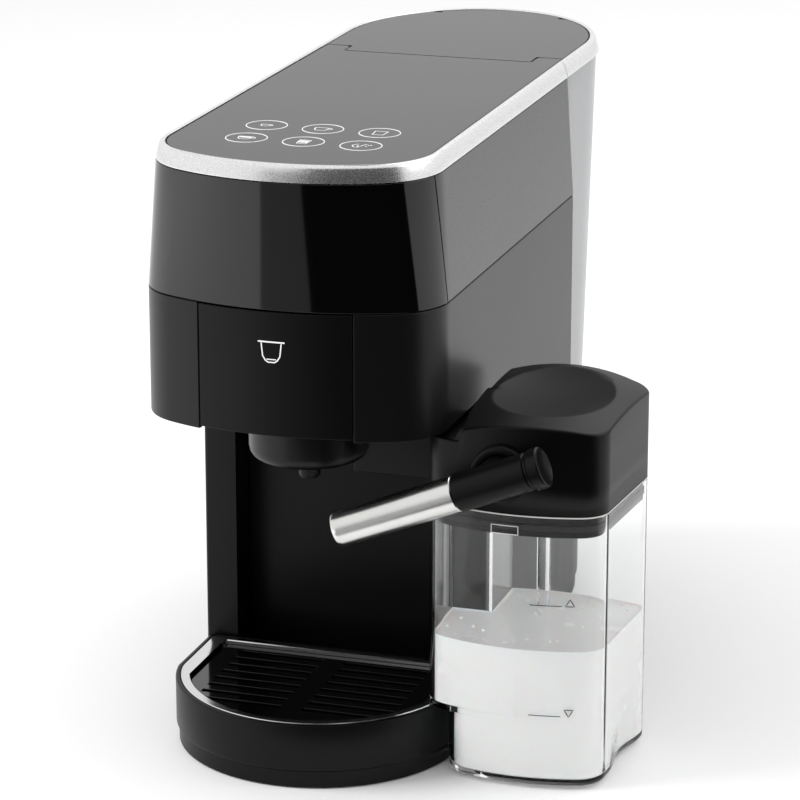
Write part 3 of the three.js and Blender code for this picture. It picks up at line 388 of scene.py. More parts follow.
print("piece maker ready")

# %% [markdown]
# ## The body's outline
# Seen from above, the casing is a bowed front, two round corners, straight sides and a half-ellipse rear.
# One function gives evenly spaced points on its right half between two depths. The whole body comes from
# it: panels are strips of this line at several heights, so their seams meet without any fitting.

# %% Outlines of the casing, the band and the touch panel
SEAM = 0.3
TANK_DEPTH = 120
LENGTH = from_frame(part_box("left_side_panel")[1])[1] + TANK_DEPTH + SEAM
HALF = from_frame(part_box("right_side_panel")[1])[0]
LOWER = {"half": HALF, "front": 0.0, "bow": 120.0, "corner": 27.0, "back": LENGTH, "rear": 77.0}
UPPER = {"half": HALF - 3.5, "front": -2.2, "bow": 96.0, "corner": 34.0, "back": LENGTH - 1.5, "rear": 75.0}
PANEL = {"half": HALF - 8.2, "front": 1.8, "bow": 100.0, "corner": 32.0, "back": LENGTH - 7, "rear": 70.0}
REAR_SEAM = LENGTH - TANK_DEPTH
LID_SEAM = REAR_SEAM + 8
BEFORE, BEHIND = -5, LENGTH + 50
WALL = 2.2


def dense_half(plan, inset):
    """The right half of a plan, moved in by inset, as closely spaced points."""
    half, front, bow = plan["half"] - inset, plan["front"] + inset, plan["bow"] - inset
    corner, back, rear = plan["corner"] - inset, plan["back"] - inset, plan["rear"] - inset
    corner_x = half - corner
    corner_y = front + bow - math.sqrt((bow - corner) ** 2 - corner_x**2)
    spread = math.atan2(corner_x, front + bow - corner_y)
    swing = np.linspace(0, spread, 90)
    turn = np.linspace(spread, math.pi / 2, 90)
    tail = np.linspace(0, math.pi / 2, 160)
    x = [bow * np.sin(swing), corner_x + corner * np.sin(turn), half * np.cos(tail)]
    y = [
        front + bow - bow * np.cos(swing), corner_y - corner * np.cos(turn),
        back - rear + rear * np.sin(tail),
    ]
    return np.column_stack([np.concatenate(x), np.concatenate(y)])


def strip(plan, inset, start, stop, count, upper=None, share=0.0):
    """Points on the right half from depth start to depth stop. share moves them towards the upper plan."""
    line = dense_half(plan, inset)
    if upper is not None:
        line = line * (1 - share) + dense_half(upper, inset) * share
    run = np.concatenate([[0], np.cumsum(np.linalg.norm(np.diff(line, axis=0), axis=1))])
    depth = np.maximum.accumulate(line[:, 1] + np.arange(len(line)) * 1e-9)
    ends = np.interp([start, stop], depth, run)
    at = np.linspace(ends[0], ends[1], count)
    return np.column_stack([np.interp(at, run, line[:, 0]), np.interp(at, run, line[:, 1])])


def depth_at(plan, x):
    """How far back the bowed front is at a distance x from the middle."""
    return plan["front"] + plan["bow"] - math.sqrt(plan["bow"] ** 2 - x**2)


def arc(x, y, radius, start, stop, count=12):
    """Points on an arc about (x, y), between two angles in radians."""
    turn = np.linspace(start, stop, count)
    return np.column_stack([x + radius * np.cos(turn), y + radius * np.sin(turn)])


def at_height(line, z):
    return np.column_stack([line, np.full(len(line), float(z))])


def mirrored(points):
    return np.asarray(points) * [-1, 1, 1]


def on_side(side, points, faces):
    """A right-hand shape as it is, or mirrored with its faces turned back outwards."""
    return (points, faces) if side == "right" else (mirrored(points), [f[::-1] for f in faces])


print("casing", round(2 * HALF, 1), "wide and", round(LENGTH, 1), "long")

# %% [markdown]
# ## Side panels and the pod drawer's front
# The lower casing is one long strip on each side, cut away under the head. It is built as a grid whose
# columns and rows fall on the cut, and faces in the cut-away are left out. Solidify then gives it a wall
# and Bevel rounds the rims, which is what makes the seams catch light as moulded ones do.

# %% Lower side panels
FLOOR = level("left_side_panel", 0)
LIP = 1.2
HEAD = from_frame(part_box("pod_drawer_front")[0])[2] - LIP
BAND = level("left_side_panel", 1)
DOOR_EDGE = from_frame(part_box("pod_drawer_front")[1])[0] + SEAM
COLUMN = 90.0
SIDES = ("left", "right")


def side_panel(side):
    """The head's corner, and the whole side behind the column's face."""
    bay = COLUMN + WALL + SEAM
    front = strip(LOWER, 0, depth_at(LOWER, DOOR_EDGE), bay, 64)
    rear = strip(LOWER, 0, bay, REAR_SEAM - SEAM, 24)[1:]
    line = np.vstack([front, rear])
    heights = [FLOOR, (FLOOR + HEAD) / 2, HEAD, HEAD + LIP, (HEAD + BAND) / 2, BAND]
    points = np.vstack([at_height(line, z) for z in heights])
    grid = quads(len(heights), len(line))
    opening = len(front) - 1
    kept = [f for f in grid if f[0] // len(line) >= 2 or f[0] % len(line) >= opening]
    used = sorted({i for f in kept for i in f})
    renumber = {old: new for new, old in enumerate(used)}
    faces = [tuple(renumber[i] for i in f) for f in kept]
    points, faces = on_side(side, points[used], faces)
    node = f"{side}_side_panel"
    return piece(f"{side}_casing", points, faces, satin, "machine", "satin", [node], WALL, 0.5, closed=False)


for side in SIDES:
    print(side_panel(side).name)

# %% Pod drawer front
door_x = np.linspace(SEAM - DOOR_EDGE, DOOR_EDGE - SEAM, 61)
door_line = np.column_stack([door_x, [depth_at(LOWER, x) for x in door_x]])
door_heights = np.linspace(level("pod_drawer_front", 0), level("pod_drawer_front", 1), 4)
door = piece(
    "drawer_front", np.vstack([at_height(door_line, z) for z in door_heights]),
    quads(len(door_heights), len(door_line)), matte, "pod_drawer", "matte", ["pod_drawer_front"], 3.0, 0.45,
    closed=False,
)
print(door.name, "spans", round(door_heights[-1] - door_heights[0], 1), "mm")

# %% [markdown]
# ## The polished band and the upper sides
# Above a thin seam the casing leans out at the front and in at the sides. The rows of each strip blend from
# the lower plan to the upper one, and the side seam of the polished band leans with them.

# %% Band panels
BAND_LOW = level("front_gloss_panel", 0)
BAND_HIGH = level("front_gloss_panel", 1)
SEAM_LOW, SEAM_HIGH = 33.5, 29.4
SHARES = np.linspace(0, 1, 9)
SIDE_SEAM = SEAM_LOW + SHARES * (SEAM_HIGH - SEAM_LOW)


def band_rows(starts, stops, count):
    """Rows of a strip between two depths, which lean from the lower plan to the upper one."""
    heights = BAND_LOW + SHARES * (BAND_HIGH - BAND_LOW)
    ends = np.broadcast_arrays(starts, stops, SHARES)
    lines = [strip(LOWER, 0, start, stop, count, UPPER, share) for start, stop, share in zip(*ends)]
    return [at_height(line, z) for line, z in zip(lines, heights)]


front_rows = band_rows(BEFORE, SIDE_SEAM - SEAM / 2, 46)
front_rows = [np.vstack([mirrored(row)[:0:-1], row]) for row in front_rows]
piece(
    "gloss_band", np.vstack(front_rows), quads(len(front_rows), len(front_rows[0])), gloss, "machine",
    "gloss", ["front_gloss_panel"], WALL, 0.4, closed=False,
)
side_rows = band_rows(SIDE_SEAM + SEAM / 2, REAR_SEAM - SEAM, 70)
for side in SIDES[::-1]:
    points, faces = on_side(side, np.vstack(side_rows), quads(len(side_rows), len(side_rows[0])))
    node = f"{side}_upper_panel"
    piece(
        f"{side}_upper_casing", points, faces, upper_satin, "machine", "satin", [node], WALL, 0.4,
        closed=False,
    )
print("band of", len(front_rows[0]), "columns, sides of", len(side_rows[0]))

# %% [markdown]
# ## The silver trim ring
# The ring is a profile swept round the top: an outer face that leans in, a narrow bevel that catches a
# bright line, and an inner wall round the glass. It is split at the rear seam, and the back part lifts off
# with the water tank. The profile is a list of plan, inset and height, so both parts share it.

# %% Trim ring, front and rear parts
TRIM_LOW = level("head_trim_ring", 0)
TRIM_HIGH = level("head_trim_ring", 1)
PROFILE = [
    (UPPER, 0.0, TRIM_LOW), (UPPER, 0.0, TRIM_LOW + 0.5), (UPPER, 1.4, TRIM_HIGH - 1.7),
    (UPPER, 1.8, TRIM_HIGH - 0.9), (UPPER, 2.5, TRIM_HIGH - 0.2), (UPPER, 3.1, TRIM_HIGH),
    (PANEL, -0.9, TRIM_HIGH), (PANEL, -0.6, TRIM_HIGH - 0.3), (PANEL, -0.6, TRIM_LOW),
]


def trim(name, line_of, body, node):
    """The profile swept along one part of the ring, with its ends closed."""
    lines = [at_height(line_of(plan, inset), z) for plan, inset, z in PROFILE]
    count = len(lines[0])
    faces = quads(len(lines), count, stacked=True)
    for end in (0, count - 1):
        faces.append(tuple(row * count + end for row in range(len(lines))))
    return piece(name, np.vstack(lines), faces, silver, body, "silver", [node], edge=0.18)


def front_line(plan, inset):
    half = strip(plan, inset, BEFORE, REAR_SEAM - SEAM, 120)
    return np.vstack([(half * [-1, 1])[:0:-1], half])


def rear_line(plan, inset):
    half = strip(plan, inset, REAR_SEAM + SEAM, BEHIND, 90)
    return np.vstack([half, (half * [-1, 1])[-2::-1]])


for made in (
    trim("trim_ring_front", front_line, "machine", "head_trim_ring"),
    trim("trim_ring_rear", rear_line, "water_tank", "tank_trim_ring"),
):
    print(made.name, len(made.data.vertices), "corners")

# %% [markdown]
# ## Touch glass and the tank's lid
# Both are flat plates with a finger tab between them: the lid has the tab and the glass has its slot, whose
# corners are eased. The lid's CAD node also holds the skirt that drops into the tank and the bores of its
# hinge, which only show when it is open, so the CAD node stays and is given smooth shading and the finish.

# %% Touch glass
TAB_HALF, TAB_LENGTH = 44.0, 11.0


def caps(count, rings):
    """The two end faces of a body of rings."""
    return [tuple(range(count))[::-1], tuple(range((rings - 1) * count, rings * count))]


def loft(name, rings, finish, body, slot=None, nodes=(), looped=False, shaped=np.array, **more):
    """A closed body through (outline, height) rings: its ends are capped, or looped joins them."""
    count = len(rings[0][0])
    points = shaped(np.vstack([at_height(line, z) for line, z in rings]))
    faces = quads(len(rings), count, around=True, stacked=looped)
    faces += [] if looped else caps(count, len(rings))
    return piece(name, points, faces, finish, body, slot, nodes, **more)


def eased(corner, before, after, radius, steps=5):
    """A corner of an outline, rounded."""
    corner, before, after = (np.array(p, float) for p in (corner, before, after))
    start = corner + (before - corner) / np.linalg.norm(before - corner) * radius
    stop = corner + (after - corner) / np.linalg.norm(after - corner) * radius
    share = np.linspace(0, 1, steps)[:, None]
    return (1 - share) ** 2 * start + 2 * share * (1 - share) * corner + share**2 * stop


glass_back = LID_SEAM - SEAM
slot_x, slot_y = TAB_HALF + 2 * SEAM, LID_SEAM - TAB_LENGTH - SEAM
glass_half = strip(PANEL, 0, BEFORE, glass_back, 110)
slot_right = np.vstack([
    eased((slot_x, glass_back), (slot_x + 9, glass_back), (slot_x, slot_y), 3),
    eased((slot_x, slot_y), (slot_x, glass_back), (0, slot_y), 2),
])
glass_outline = np.vstack([
    (glass_half * [-1, 1])[:0:-1], glass_half, slot_right, (slot_right * [-1, 1])[::-1],
])
glass_low, glass_high = level("touch_panel", 0), level("touch_panel", 1)
glass_rings = [(glass_outline, glass_low), (glass_outline, glass_high)]
glass = loft("touch_glass", glass_rings, panel, "machine", "panel", ["touch_panel"], edge=0.35)
print(glass.name, "top at", round(glass_high, 1))

# %% [markdown]
# ## Signs on the glass and the drawer
# Six round keys lie in two rows. The rings repeat, so Geometry Nodes makes them: a curve circle swept by a
# flat profile is placed on the points of a grid whose pitch is an input. The cup signs inside are thin
# strokes, made by one function that widens a line in its own plane and gives it a hair's thickness.


# %% Geometry Nodes helpers
class Geo:
    """A Geometry Nodes tree with named inputs, whose result becomes a plain mesh."""

    def __init__(self, name):
        self.tree = bpy.data.node_groups.new(name, "GeometryNodeTree")
        self.tree.interface.new_socket("Geometry", in_out="INPUT", socket_type="NodeSocketGeometry")
        self.tree.interface.new_socket("Geometry", in_out="OUTPUT", socket_type="NodeSocketGeometry")
        self.inside = self.tree.nodes.new("NodeGroupInput")
        self.outside = self.tree.nodes.new("NodeGroupOutput")
        self.values = {}

    def input(self, name, value):
        kind = "NodeSocketInt" if isinstance(value, int) else "NodeSocketFloat"
        made = self.tree.interface.new_socket(name, in_out="INPUT", socket_type=kind)
        self.values[made.identifier] = value
        return self.inside.outputs[name]

    def node(self, kind, settings=None, inputs=None):
        return new_node(self.tree, kind, settings, inputs)

    def many(self, points, instance, centre):
        """The instance on every point, about a centre in millimetres."""
        inputs = {"Points": points.outputs[0], "Instance": instance.outputs[0]}
        laid = self.node("GeometryNodeInstanceOnPoints", {}, inputs)
        inputs = {"Geometry": laid.outputs[0], "Translation": to_frame(centre)[0]}
        return self.node("GeometryNodeTransform", {}, inputs).outputs[0]

    def result(self, geometry, finish):
        """Ends the tree: real geometry with its finish."""
        real = self.node("GeometryNodeRealizeInstances", {}, {"Geometry": geometry})
        inputs = {"Geometry": real.outputs[0], "Material": finish.material}
        last = self.node("GeometryNodeSetMaterial", {}, inputs)
        self.tree.links.new(last.outputs[0], self.outside.inputs[0])

    def mesh(self, name, base=None):
        """Runs the tree on a mesh and returns the result as a plain mesh object at the origin."""
        thing = linked(name, base or bpy.data.meshes.new(name))
        runner = thing.modifiers.new("nodes", "NODES")
        runner.node_group = self.tree
        for identifier, value in self.values.items():
            runner[identifier] = value
        view = bpy.context.evaluated_depsgraph_get()
        view.update()
        plain_mesh = bpy.data.meshes.new_from_object(thing.evaluated_get(view), depsgraph=view)
        thing.modifiers.remove(runner)
        thing.data = plain_mesh
        return thing


print("geometry nodes helper ready")

# %% Key rings on a grid
KEY_PITCH, KEY_ROWS, KEY_RADIUS = 24.7, (41.5, 66.2), 8.6


def key_rings():
    """Six thin rings, placed on a grid's points."""
    geo = Geo("key_rings")
    pitch = geo.input("Pitch", KEY_PITCH * MM)
    radius = geo.input("Ring radius", KEY_RADIUS * MM)
    width = geo.input("Line width", 0.24 * MM)
    reach = geo.node("ShaderNodeMath", {"operation": "MULTIPLY"}, {0: pitch, 1: 2.0})
    grid = geo.node("GeometryNodeMeshGrid", {}, {0: reach.outputs[0], 1: pitch, 2: 3, 3: 2})
    circle = geo.node("GeometryNodeCurvePrimitiveCircle", {}, {"Resolution": 64, "Radius": radius})
    line = geo.node("GeometryNodeCurvePrimitiveCircle", {}, {"Resolution": 6, "Radius": width})
    tube = geo.node("GeometryNodeCurveToMesh", {}, {0: circle.outputs[0], 1: line.outputs[0]})
    geo.result(geo.many(grid, tube, [0, sum(KEY_ROWS) / 2, glass_high]), ink)
    return geo.mesh("key_rings")


rings = key_rings()
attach(rings, "machine")
print("key rings:", len(rings.data.polygons), "faces")

# %% Strokes
INK_HIGH = 0.07


def finer(line, closed):
    """The line with a corner at least every millimetre, so that it can bend with a surface."""
    ends = np.roll(line, -1, 0) if closed else line[1:]
    made = []
    for a, b in zip(line, ends):
        steps = max(1, math.ceil(np.linalg.norm(b - a)))
        made += [a + (b - a) * i / steps for i in range(steps)]
    return np.array(made if closed else made + [line[-1]])


def stroke(line, width, closed=False):
    """A flat line of ink as a closed strip: corners (x, y, height) and faces."""
    line = finer(np.asarray(line, float), closed)
    count = len(line)
    ahead = np.roll(line, -1, 0) - line
    behind = line - np.roll(line, 1, 0)
    if not closed:
        ahead[-1], behind[0] = behind[-1], ahead[0]
    along = ahead / np.linalg.norm(ahead, axis=1)[:, None] + behind / np.linalg.norm(behind, axis=1)[:, None]
    along /= np.maximum(np.linalg.norm(along, axis=1), 1e-6)[:, None]
    out = np.column_stack([-along[:, 1], along[:, 0]]) * width / 2
    sides = [(line - out, 0.0), (line + out, 0.0), (line + out, INK_HIGH), (line - out, INK_HIGH)]
    corners = np.stack([np.column_stack([p, np.full(count, z)]) for p, z in sides], axis=1).reshape(-1, 3)
    faces = quads(count, 4, around=True, stacked=closed)
    if not closed:
        faces += [(3, 2, 1, 0), tuple(count * 4 - 4 + i for i in range(4))]
    return corners, faces


def sign(name, strokes, place, finish, body):
    """Strokes on a surface: place turns flat (u, v, height) into millimetres about the middle plane."""
    corners, faces = [], []
    for line, width, closed in strokes:
        made, rim = stroke(line, width, closed)
        first = sum(len(c) for c in corners)
        corners.append(made)
        faces += [tuple(i + first for i in face) for face in rim]
    flat = np.vstack(corners)
    return piece(name, place(flat), faces, finish, body)


print("stroke width and height in mm: as given,", INK_HIGH)

# %% The six key signs
THIN = 0.46


def cup(x, y, wide, tall, handle=True, fill=0):
    """A cup seen from the side, with a handle and bars of froth or milk inside."""
    half = wide / 2
    wall = [(x - half, y + tall / 2), (x - half * 0.8, y - tall * 0.3), (x - half * 0.45, y - tall / 2),
            (x + half * 0.45, y - tall / 2), (x + half * 0.8, y - tall * 0.3), (x + half, y + tall / 2)]
    lines = [(wall, THIN, True)]
    if handle:
        grip = arc(x + half, y + tall * 0.12, tall * 0.28, math.radians(80), -math.radians(80))
        lines.append((grip, THIN, False))
    for i in range(fill):
        bar = y + tall * (0.32 - 0.2 * i)
        lines.append(([(x - half * 0.78, bar), (x + half * 0.78, bar)], THIN * 1.8, False))
    return lines


def glass_sign(x, y, wide, tall, fill=0):
    """A straight tumbler."""
    half = wide / 2
    wall = [(x - half, y + tall / 2), (x - half * 0.8, y - tall / 2), (x + half * 0.8, y - tall / 2),
            (x + half, y + tall / 2)]
    lines = [(wall, THIN, True)]
    for i in range(fill):
        bar = y + tall * (0.28 - 0.22 * i)
        lines.append(([(x - half * 0.75, bar), (x + half * 0.75, bar)], THIN * 2.2, False))
    return lines


def clean_sign(x, y):
    """A jug half and a spray of drops, divided by a slanting line."""
    jug = arc(-0.6, 0, 3.0, math.radians(110), math.radians(250))
    drops = [[(2.2, 2.2), (3.2, 1.3)], [(3.3, 2.6), (4.2, 1.6)], [(2.0, -0.2), (2.8, -1.0)]]
    corner, slash = [(-1.4, 0.6), (-1.4, -1.2), (-0.2, -1.2)], [(-1.0, -3.4), (1.4, 3.4)]
    return [(np.array(line) + [x, y], THIN, False) for line in (jug, corner, slash, *drops)]


near, far = KEY_ROWS
key_signs = (
    cup(-KEY_PITCH - 0.6, far, 4.2, 3.2)
    + cup(-0.8, far, 6.2, 5.0)
    + glass_sign(KEY_PITCH, far, 5.6, 6.6)
    + cup(-KEY_PITCH - 0.8, near, 6.2, 4.6, fill=2)
    + glass_sign(0, near, 4.8, 6.6, fill=3)
    + clean_sign(KEY_PITCH, near)
)


def glass_place(flat):
    return flat + [0, 0, glass_high]


print(sign("key_signs", key_signs, glass_place, ink, "machine").name, len(key_signs), "strokes")

# %% The pod sign on the drawer
POD_Z = 189.0


def drawer_place(flat):
    """Flat sign coordinates onto the bowed drawer front."""
    depth = np.array([depth_at(LOWER, x) for x in flat[:, 0]])
    return np.column_stack([flat[:, 0], depth - flat[:, 2], flat[:, 1] + POD_Z])


pod_half = [(4.3, 3.4), (3.7, -2.0), (2.5, -3.9), (1.4, -4.6)]
pod_lines = [
    ([(-x, z) for x, z in pod_half] + pod_half[::-1], 0.5, False),
    ([(-5.7, 3.9), (5.7, 3.9)], 0.6, False),
    ([(-2.1, -3.4), (2.1, -3.4)], 0.4, False),
]
print(sign("pod_sign", pod_lines, drawer_place, ink, "pod_drawer").name)

# %% [markdown]
# ## Drip tray
# The tray is a round-fronted basin with a polished rim inside its wall. The perforated cover repeats one
# slot in two columns, so Geometry Nodes lays slot cutters on a grid and subtracts them from the plate: the
# pitch, the width and the numbers are inputs.

# %% Tray body and rim
TRAY = {"half": HALF - 2.4, "back": COLUMN - 0.6, "front": -3.0}
TRAY_RADIUS = TRAY["half"] + 1
TRAY_CENTRE = TRAY["front"] + TRAY_RADIUS
TRAY_LOW, TRAY_HIGH = level("drip_tray", 0), level("drip_tray", 1)
COVER_HIGH = level("drip_cover", 1)


def tray_line(inset, half=None):
    """The tray's outline, as a front arc and a straight back, with eased back corners."""
    radius = TRAY_RADIUS - inset
    half = TRAY["half"] - inset if half is None else half
    back = TRAY["back"] - inset
    swing = math.acos(min(half / radius, 1))
    curve = arc(0, TRAY_CENTRE, radius, math.pi + swing, 2 * math.pi - swing, 72)
    right = eased((half, back), (half, 0), (0, back), 2.0)
    left = eased((-half, back), (0, back), (-half, 0), 2.0)
    return np.vstack([curve, right, left])


def rounded_foot(line_of, low, radius, steps):
    """Rings up the rounded foot of a wall whose outline at an inset is line_of(inset)."""
    turns = np.linspace(0, math.pi / 2, steps)
    return [(line_of(radius * (1 - math.sin(t))), low + radius * (1 - math.cos(t))) for t in turns]


ledge = COVER_HIGH - 2.2
tray_rings = rounded_foot(tray_line, TRAY_LOW, 0.8, 4)
tray_rings += [
    (tray_line(0), TRAY_HIGH - 0.6), (tray_line(0.2), TRAY_HIGH - 0.2), (tray_line(0.6), TRAY_HIGH),
    (tray_line(1.7), TRAY_HIGH),
    (tray_line(2.0), TRAY_HIGH - 0.3), (tray_line(2.0), ledge - 0.3), (tray_line(5.0), ledge - 0.3),
    (tray_line(5.0), TRAY_LOW + 2.5),
]
tray = loft("tray_body", tray_rings, matte, "drip_tray", "satin", ["drip_tray"], edge=0.15)


def rim_out(extra):
    return tray_line(2.3 + extra)


def rim_in(extra):
    return tray_line(6.3 - extra, TRAY["half"] - 8.3 - extra)


rim_rings = [
    (rim_out(0), ledge + 0.1), (rim_out(0), TRAY_HIGH - 0.1), (rim_out(0.4), TRAY_HIGH + 0.15),
    (rim_in(0.4), TRAY_HIGH + 0.15), (rim_in(0), TRAY_HIGH - 0.2), (rim_in(0), ledge + 0.1),
]
rim = loft("tray_rim", rim_rings, bright, "drip_tray", "silver", ["tray_trim"], looped=True)
print(tray.name, rim.name, "corners:", len(tray.data.vertices), len(rim.data.vertices))

# %% Slotted cover
SLOT_PITCH, SLOT_WIDTH, SLOT_ROWS = 8.0, 3.0, 8
SLOT_NEAR, SLOT_FAR = 5.0, 43.0
COVER_INSET, SLOT_INSET = 6.7, 17


def slotted_cover():
    """The cover's plate with two columns of slots cut from it."""
    outline = tray_line(COVER_INSET, TRAY["half"] - COVER_INSET - 2)
    points = np.vstack([at_height(outline, ledge), at_height(outline, COVER_HIGH)])
    faces = quads(2, len(outline), around=True) + caps(len(outline), 2)
    base = mesh_of("cover_plate", points, faces)
    geo = Geo("cover_slots")
    pitch = geo.input("Slot pitch", SLOT_PITCH * MM)
    width = geo.input("Slot width", SLOT_WIDTH * MM)
    rows = geo.input("Rows", SLOT_ROWS)
    length = geo.input("Slot length", (SLOT_FAR - SLOT_NEAR) * MM)
    gap = geo.input("Column distance", (SLOT_FAR + SLOT_NEAR) * MM)
    steps = geo.node("ShaderNodeMath", {"operation": "SUBTRACT"}, {0: rows, 1: 1.0})
    reach = geo.node("ShaderNodeMath", {"operation": "MULTIPLY"}, {0: steps.outputs[0], 1: pitch})
    grid = geo.node("GeometryNodeMeshGrid", {}, {0: gap, 1: reach.outputs[0], 2: 2, 3: rows})
    size = geo.node("ShaderNodeCombineXYZ", {}, {0: length, 1: width, 2: 20 * MM})
    cutter = geo.node("GeometryNodeMeshCube", {}, {"Size": size.outputs[0]})
    first_row = TRAY_CENTRE - (TRAY_RADIUS - SLOT_INSET) + SLOT_PITCH * 0.75
    middle = first_row + SLOT_PITCH * (SLOT_ROWS - 1) / 2
    laid = geo.many(grid, cutter, [0, middle, COVER_HIGH])
    real = geo.node("GeometryNodeRealizeInstances", {}, {"Geometry": laid})
    cut = geo.node("GeometryNodeMeshBoolean", {"operation": "DIFFERENCE", "solver": "EXACT"})
    geo.tree.links.new(geo.inside.outputs[0], cut.inputs["Mesh 1"])
    geo.tree.links.new(real.outputs[0], cut.inputs["Mesh 2"])
    geo.result(cut.outputs[0], gloss)
    return geo.mesh("slotted_cover", base)


cover = slotted_cover()
cover.data.shade_smooth()
cover.data.set_sharp_from_angle(angle=SMOOTH_BELOW)
add_bevel(cover, 0.35)
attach(cover, "drip_cover")
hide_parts("drip_cover")
print("cover:", len(cover.data.polygons), "faces")

# %% [markdown]
# ## Milk container
# The container is one clear wall with a bowed front, a notch for the machine's column and a step where it
# passes the drip tray. Clear plastic shows both of its surfaces, so the outside and the inside are lofted
# as one closed body: up the outside with a rounded foot, over the rim, and down the inside to the floor.
# A shallow grip is pressed into its right side near the foot, by moving the corners that lie there.

# %% Its outline
BOX_LOW, BOX_RIM = level("milk_container", 0), level("milk_container", 1)
MILK_LEFT = HALF - 10.4
MILK = {
    "left": MILK_LEFT, "front_right": MILK_LEFT + 77, "right": MILK_LEFT + 80.6, "front": 27.6, "bow": 93.0,
    "corner": 13.0, "axis": MILK_LEFT + 39.5, "back": 104.5, "back_bow": 120.0, "back_corner": 8.0,
    "notch_x": HALF + 7.1, "notch_y": COLUMN - 18,
}
FOOT_LEFT = HALF - 0.9
STEP, BOX_WALL, BOX_FLOOR = 29.2, 2.0, 2.5


def milk_line(inset=0.0, left=None):
    """The container's outline moved in by inset, counter-clockwise from its front left corner."""
    m = MILK
    west = (m["left"] if left is None else left) + inset
    east, front_east = m["right"] - inset, m["front_right"] - inset
    corner, bow, front = m["corner"] - inset, m["bow"] - inset, m["front"] + inset
    back_bow, back_corner = m["back_bow"] - inset, m["back_corner"] - inset
    bow_y, reach = front + bow, bow - corner
    left_x, right_x = west + corner, front_east - corner
    left_y = bow_y - math.sqrt(reach**2 - (m["axis"] - left_x) ** 2)
    right_y = bow_y - math.sqrt(reach**2 - (right_x - m["axis"]) ** 2)
    down = 1.5 * math.pi
    left_turn = math.atan2(m["axis"] - left_x, bow_y - left_y)
    right_turn = math.atan2(right_x - m["axis"], bow_y - right_y)

    def back_y(x):
        return m["back"] - inset - back_bow + np.sqrt(back_bow**2 - (x - m["axis"]) ** 2)

    back_x = east - back_corner
    back_corner_y = float(back_y(back_x)) - back_corner
    side = np.linspace(0, 1, 26)[1:-1, None]
    front_end, rear_start = np.array([front_east, right_y]), np.array([east, back_corner_y])
    across = np.linspace(back_x, m["notch_x"] + inset, 14)[1:]
    notch_x, notch_y = m["notch_x"] + inset, m["notch_y"] - inset
    west_side = np.linspace(notch_y, left_y, 12)[1:-1]
    return np.vstack([
        arc(left_x, left_y, corner, math.pi, down - left_turn, 14),
        arc(m["axis"], bow_y, bow, down - left_turn, down + right_turn, 26)[1:-1],
        arc(right_x, right_y, corner, down + right_turn, 2 * math.pi, 14),
        front_end * (1 - side) + rear_start * side,
        arc(back_x, back_corner_y, back_corner, 0, math.pi / 2, 10),
        np.column_stack([across, back_y(across)]),
        [(notch_x, notch_y), (west, notch_y)],
        np.column_stack([np.full(len(west_side), west), west_side]),
    ])


print("container outline:", len(milk_line()), "corners")

# %% Its wall, with the grip
GRIP = {"y": 70.0, "z": 4.0, "long": 21.0, "tall": 26.0, "deep": 2.6}


def with_grip(points, inset=0.0):
    """Presses the grip into the right side: a soft hollow that is deepest at the foot."""
    points = np.array(points)
    along = (points[:, 1] - GRIP["y"]) / GRIP["long"]
    above = np.maximum(points[:, 2] - GRIP["z"], 0) / GRIP["tall"]
    depth = np.clip(1 - along**2, 0, 1) ** 2 * np.clip(1 - above**2, 0, 1) ** 2
    right_side = points[:, 0] > MILK["front_right"] - inset - 3
    points[right_side, 0] -= GRIP["deep"] * depth[right_side]
    return points


def foot_rings(inset, low, radius):
    """Rings from the rounded foot up to the step, in the narrower lower outline."""

    def line_of(extra):
        return milk_line(inset + extra, FOOT_LEFT)

    straight = np.linspace(low + radius, STEP + inset, 12)[1:]
    return rounded_foot(line_of, low, radius, 6) + [(line_of(0), z) for z in straight]


def upright(inset, heights):
    """Rings straight up the wall above the step."""
    return [(milk_line(inset), z) for z in (STEP + inset + 0.02, *heights)]


outside = foot_rings(0.0, BOX_LOW, 2.6) + upright(0, (60, 90, BOX_RIM - 0.5))
rim_top = [(milk_line(0.5), BOX_RIM), (milk_line(BOX_WALL - 0.5), BOX_RIM)]
inside = foot_rings(BOX_WALL, BOX_LOW + BOX_FLOOR, 1.4) + upright(BOX_WALL, (60, 90, BOX_RIM - 0.5))
container = loft(
    "container_wall", outside + rim_top + inside[::-1], clear, "milk_jug", "clear", ["milk_container"],
    shaped=with_grip,
)
print(container.name, len(container.data.polygons), "faces")

# %% [markdown]
# ## Milk, its bubbles and the level marks
# The milk fills the container to just above half, with a thin raised edge where it wets the wall. A few
# bubbles sit on it: Geometry Nodes scatters them on the surface with a fixed seed. The two level marks are
# a line with a small arrowhead, up for the most milk and down for the least, wrapped onto the bowed front.

# %% Milk
MILK_LEVEL = 60.3
gap = BOX_WALL + 0.06
milk_rings = foot_rings(gap, BOX_LOW + BOX_FLOOR + 0.06, 1.4) + upright(gap, [MILK_LEVEL + 0.9])
for more, rise in ((0.25, 0.45), (0.7, 0.12), (1.6, 0)):
    milk_rings.append((milk_line(gap + more), MILK_LEVEL + rise))
milk_fill = loft("milk_fill", milk_rings, milk, "milk_jug", shaped=with_grip)
print(milk_fill.name, "to", MILK_LEVEL, "mm")


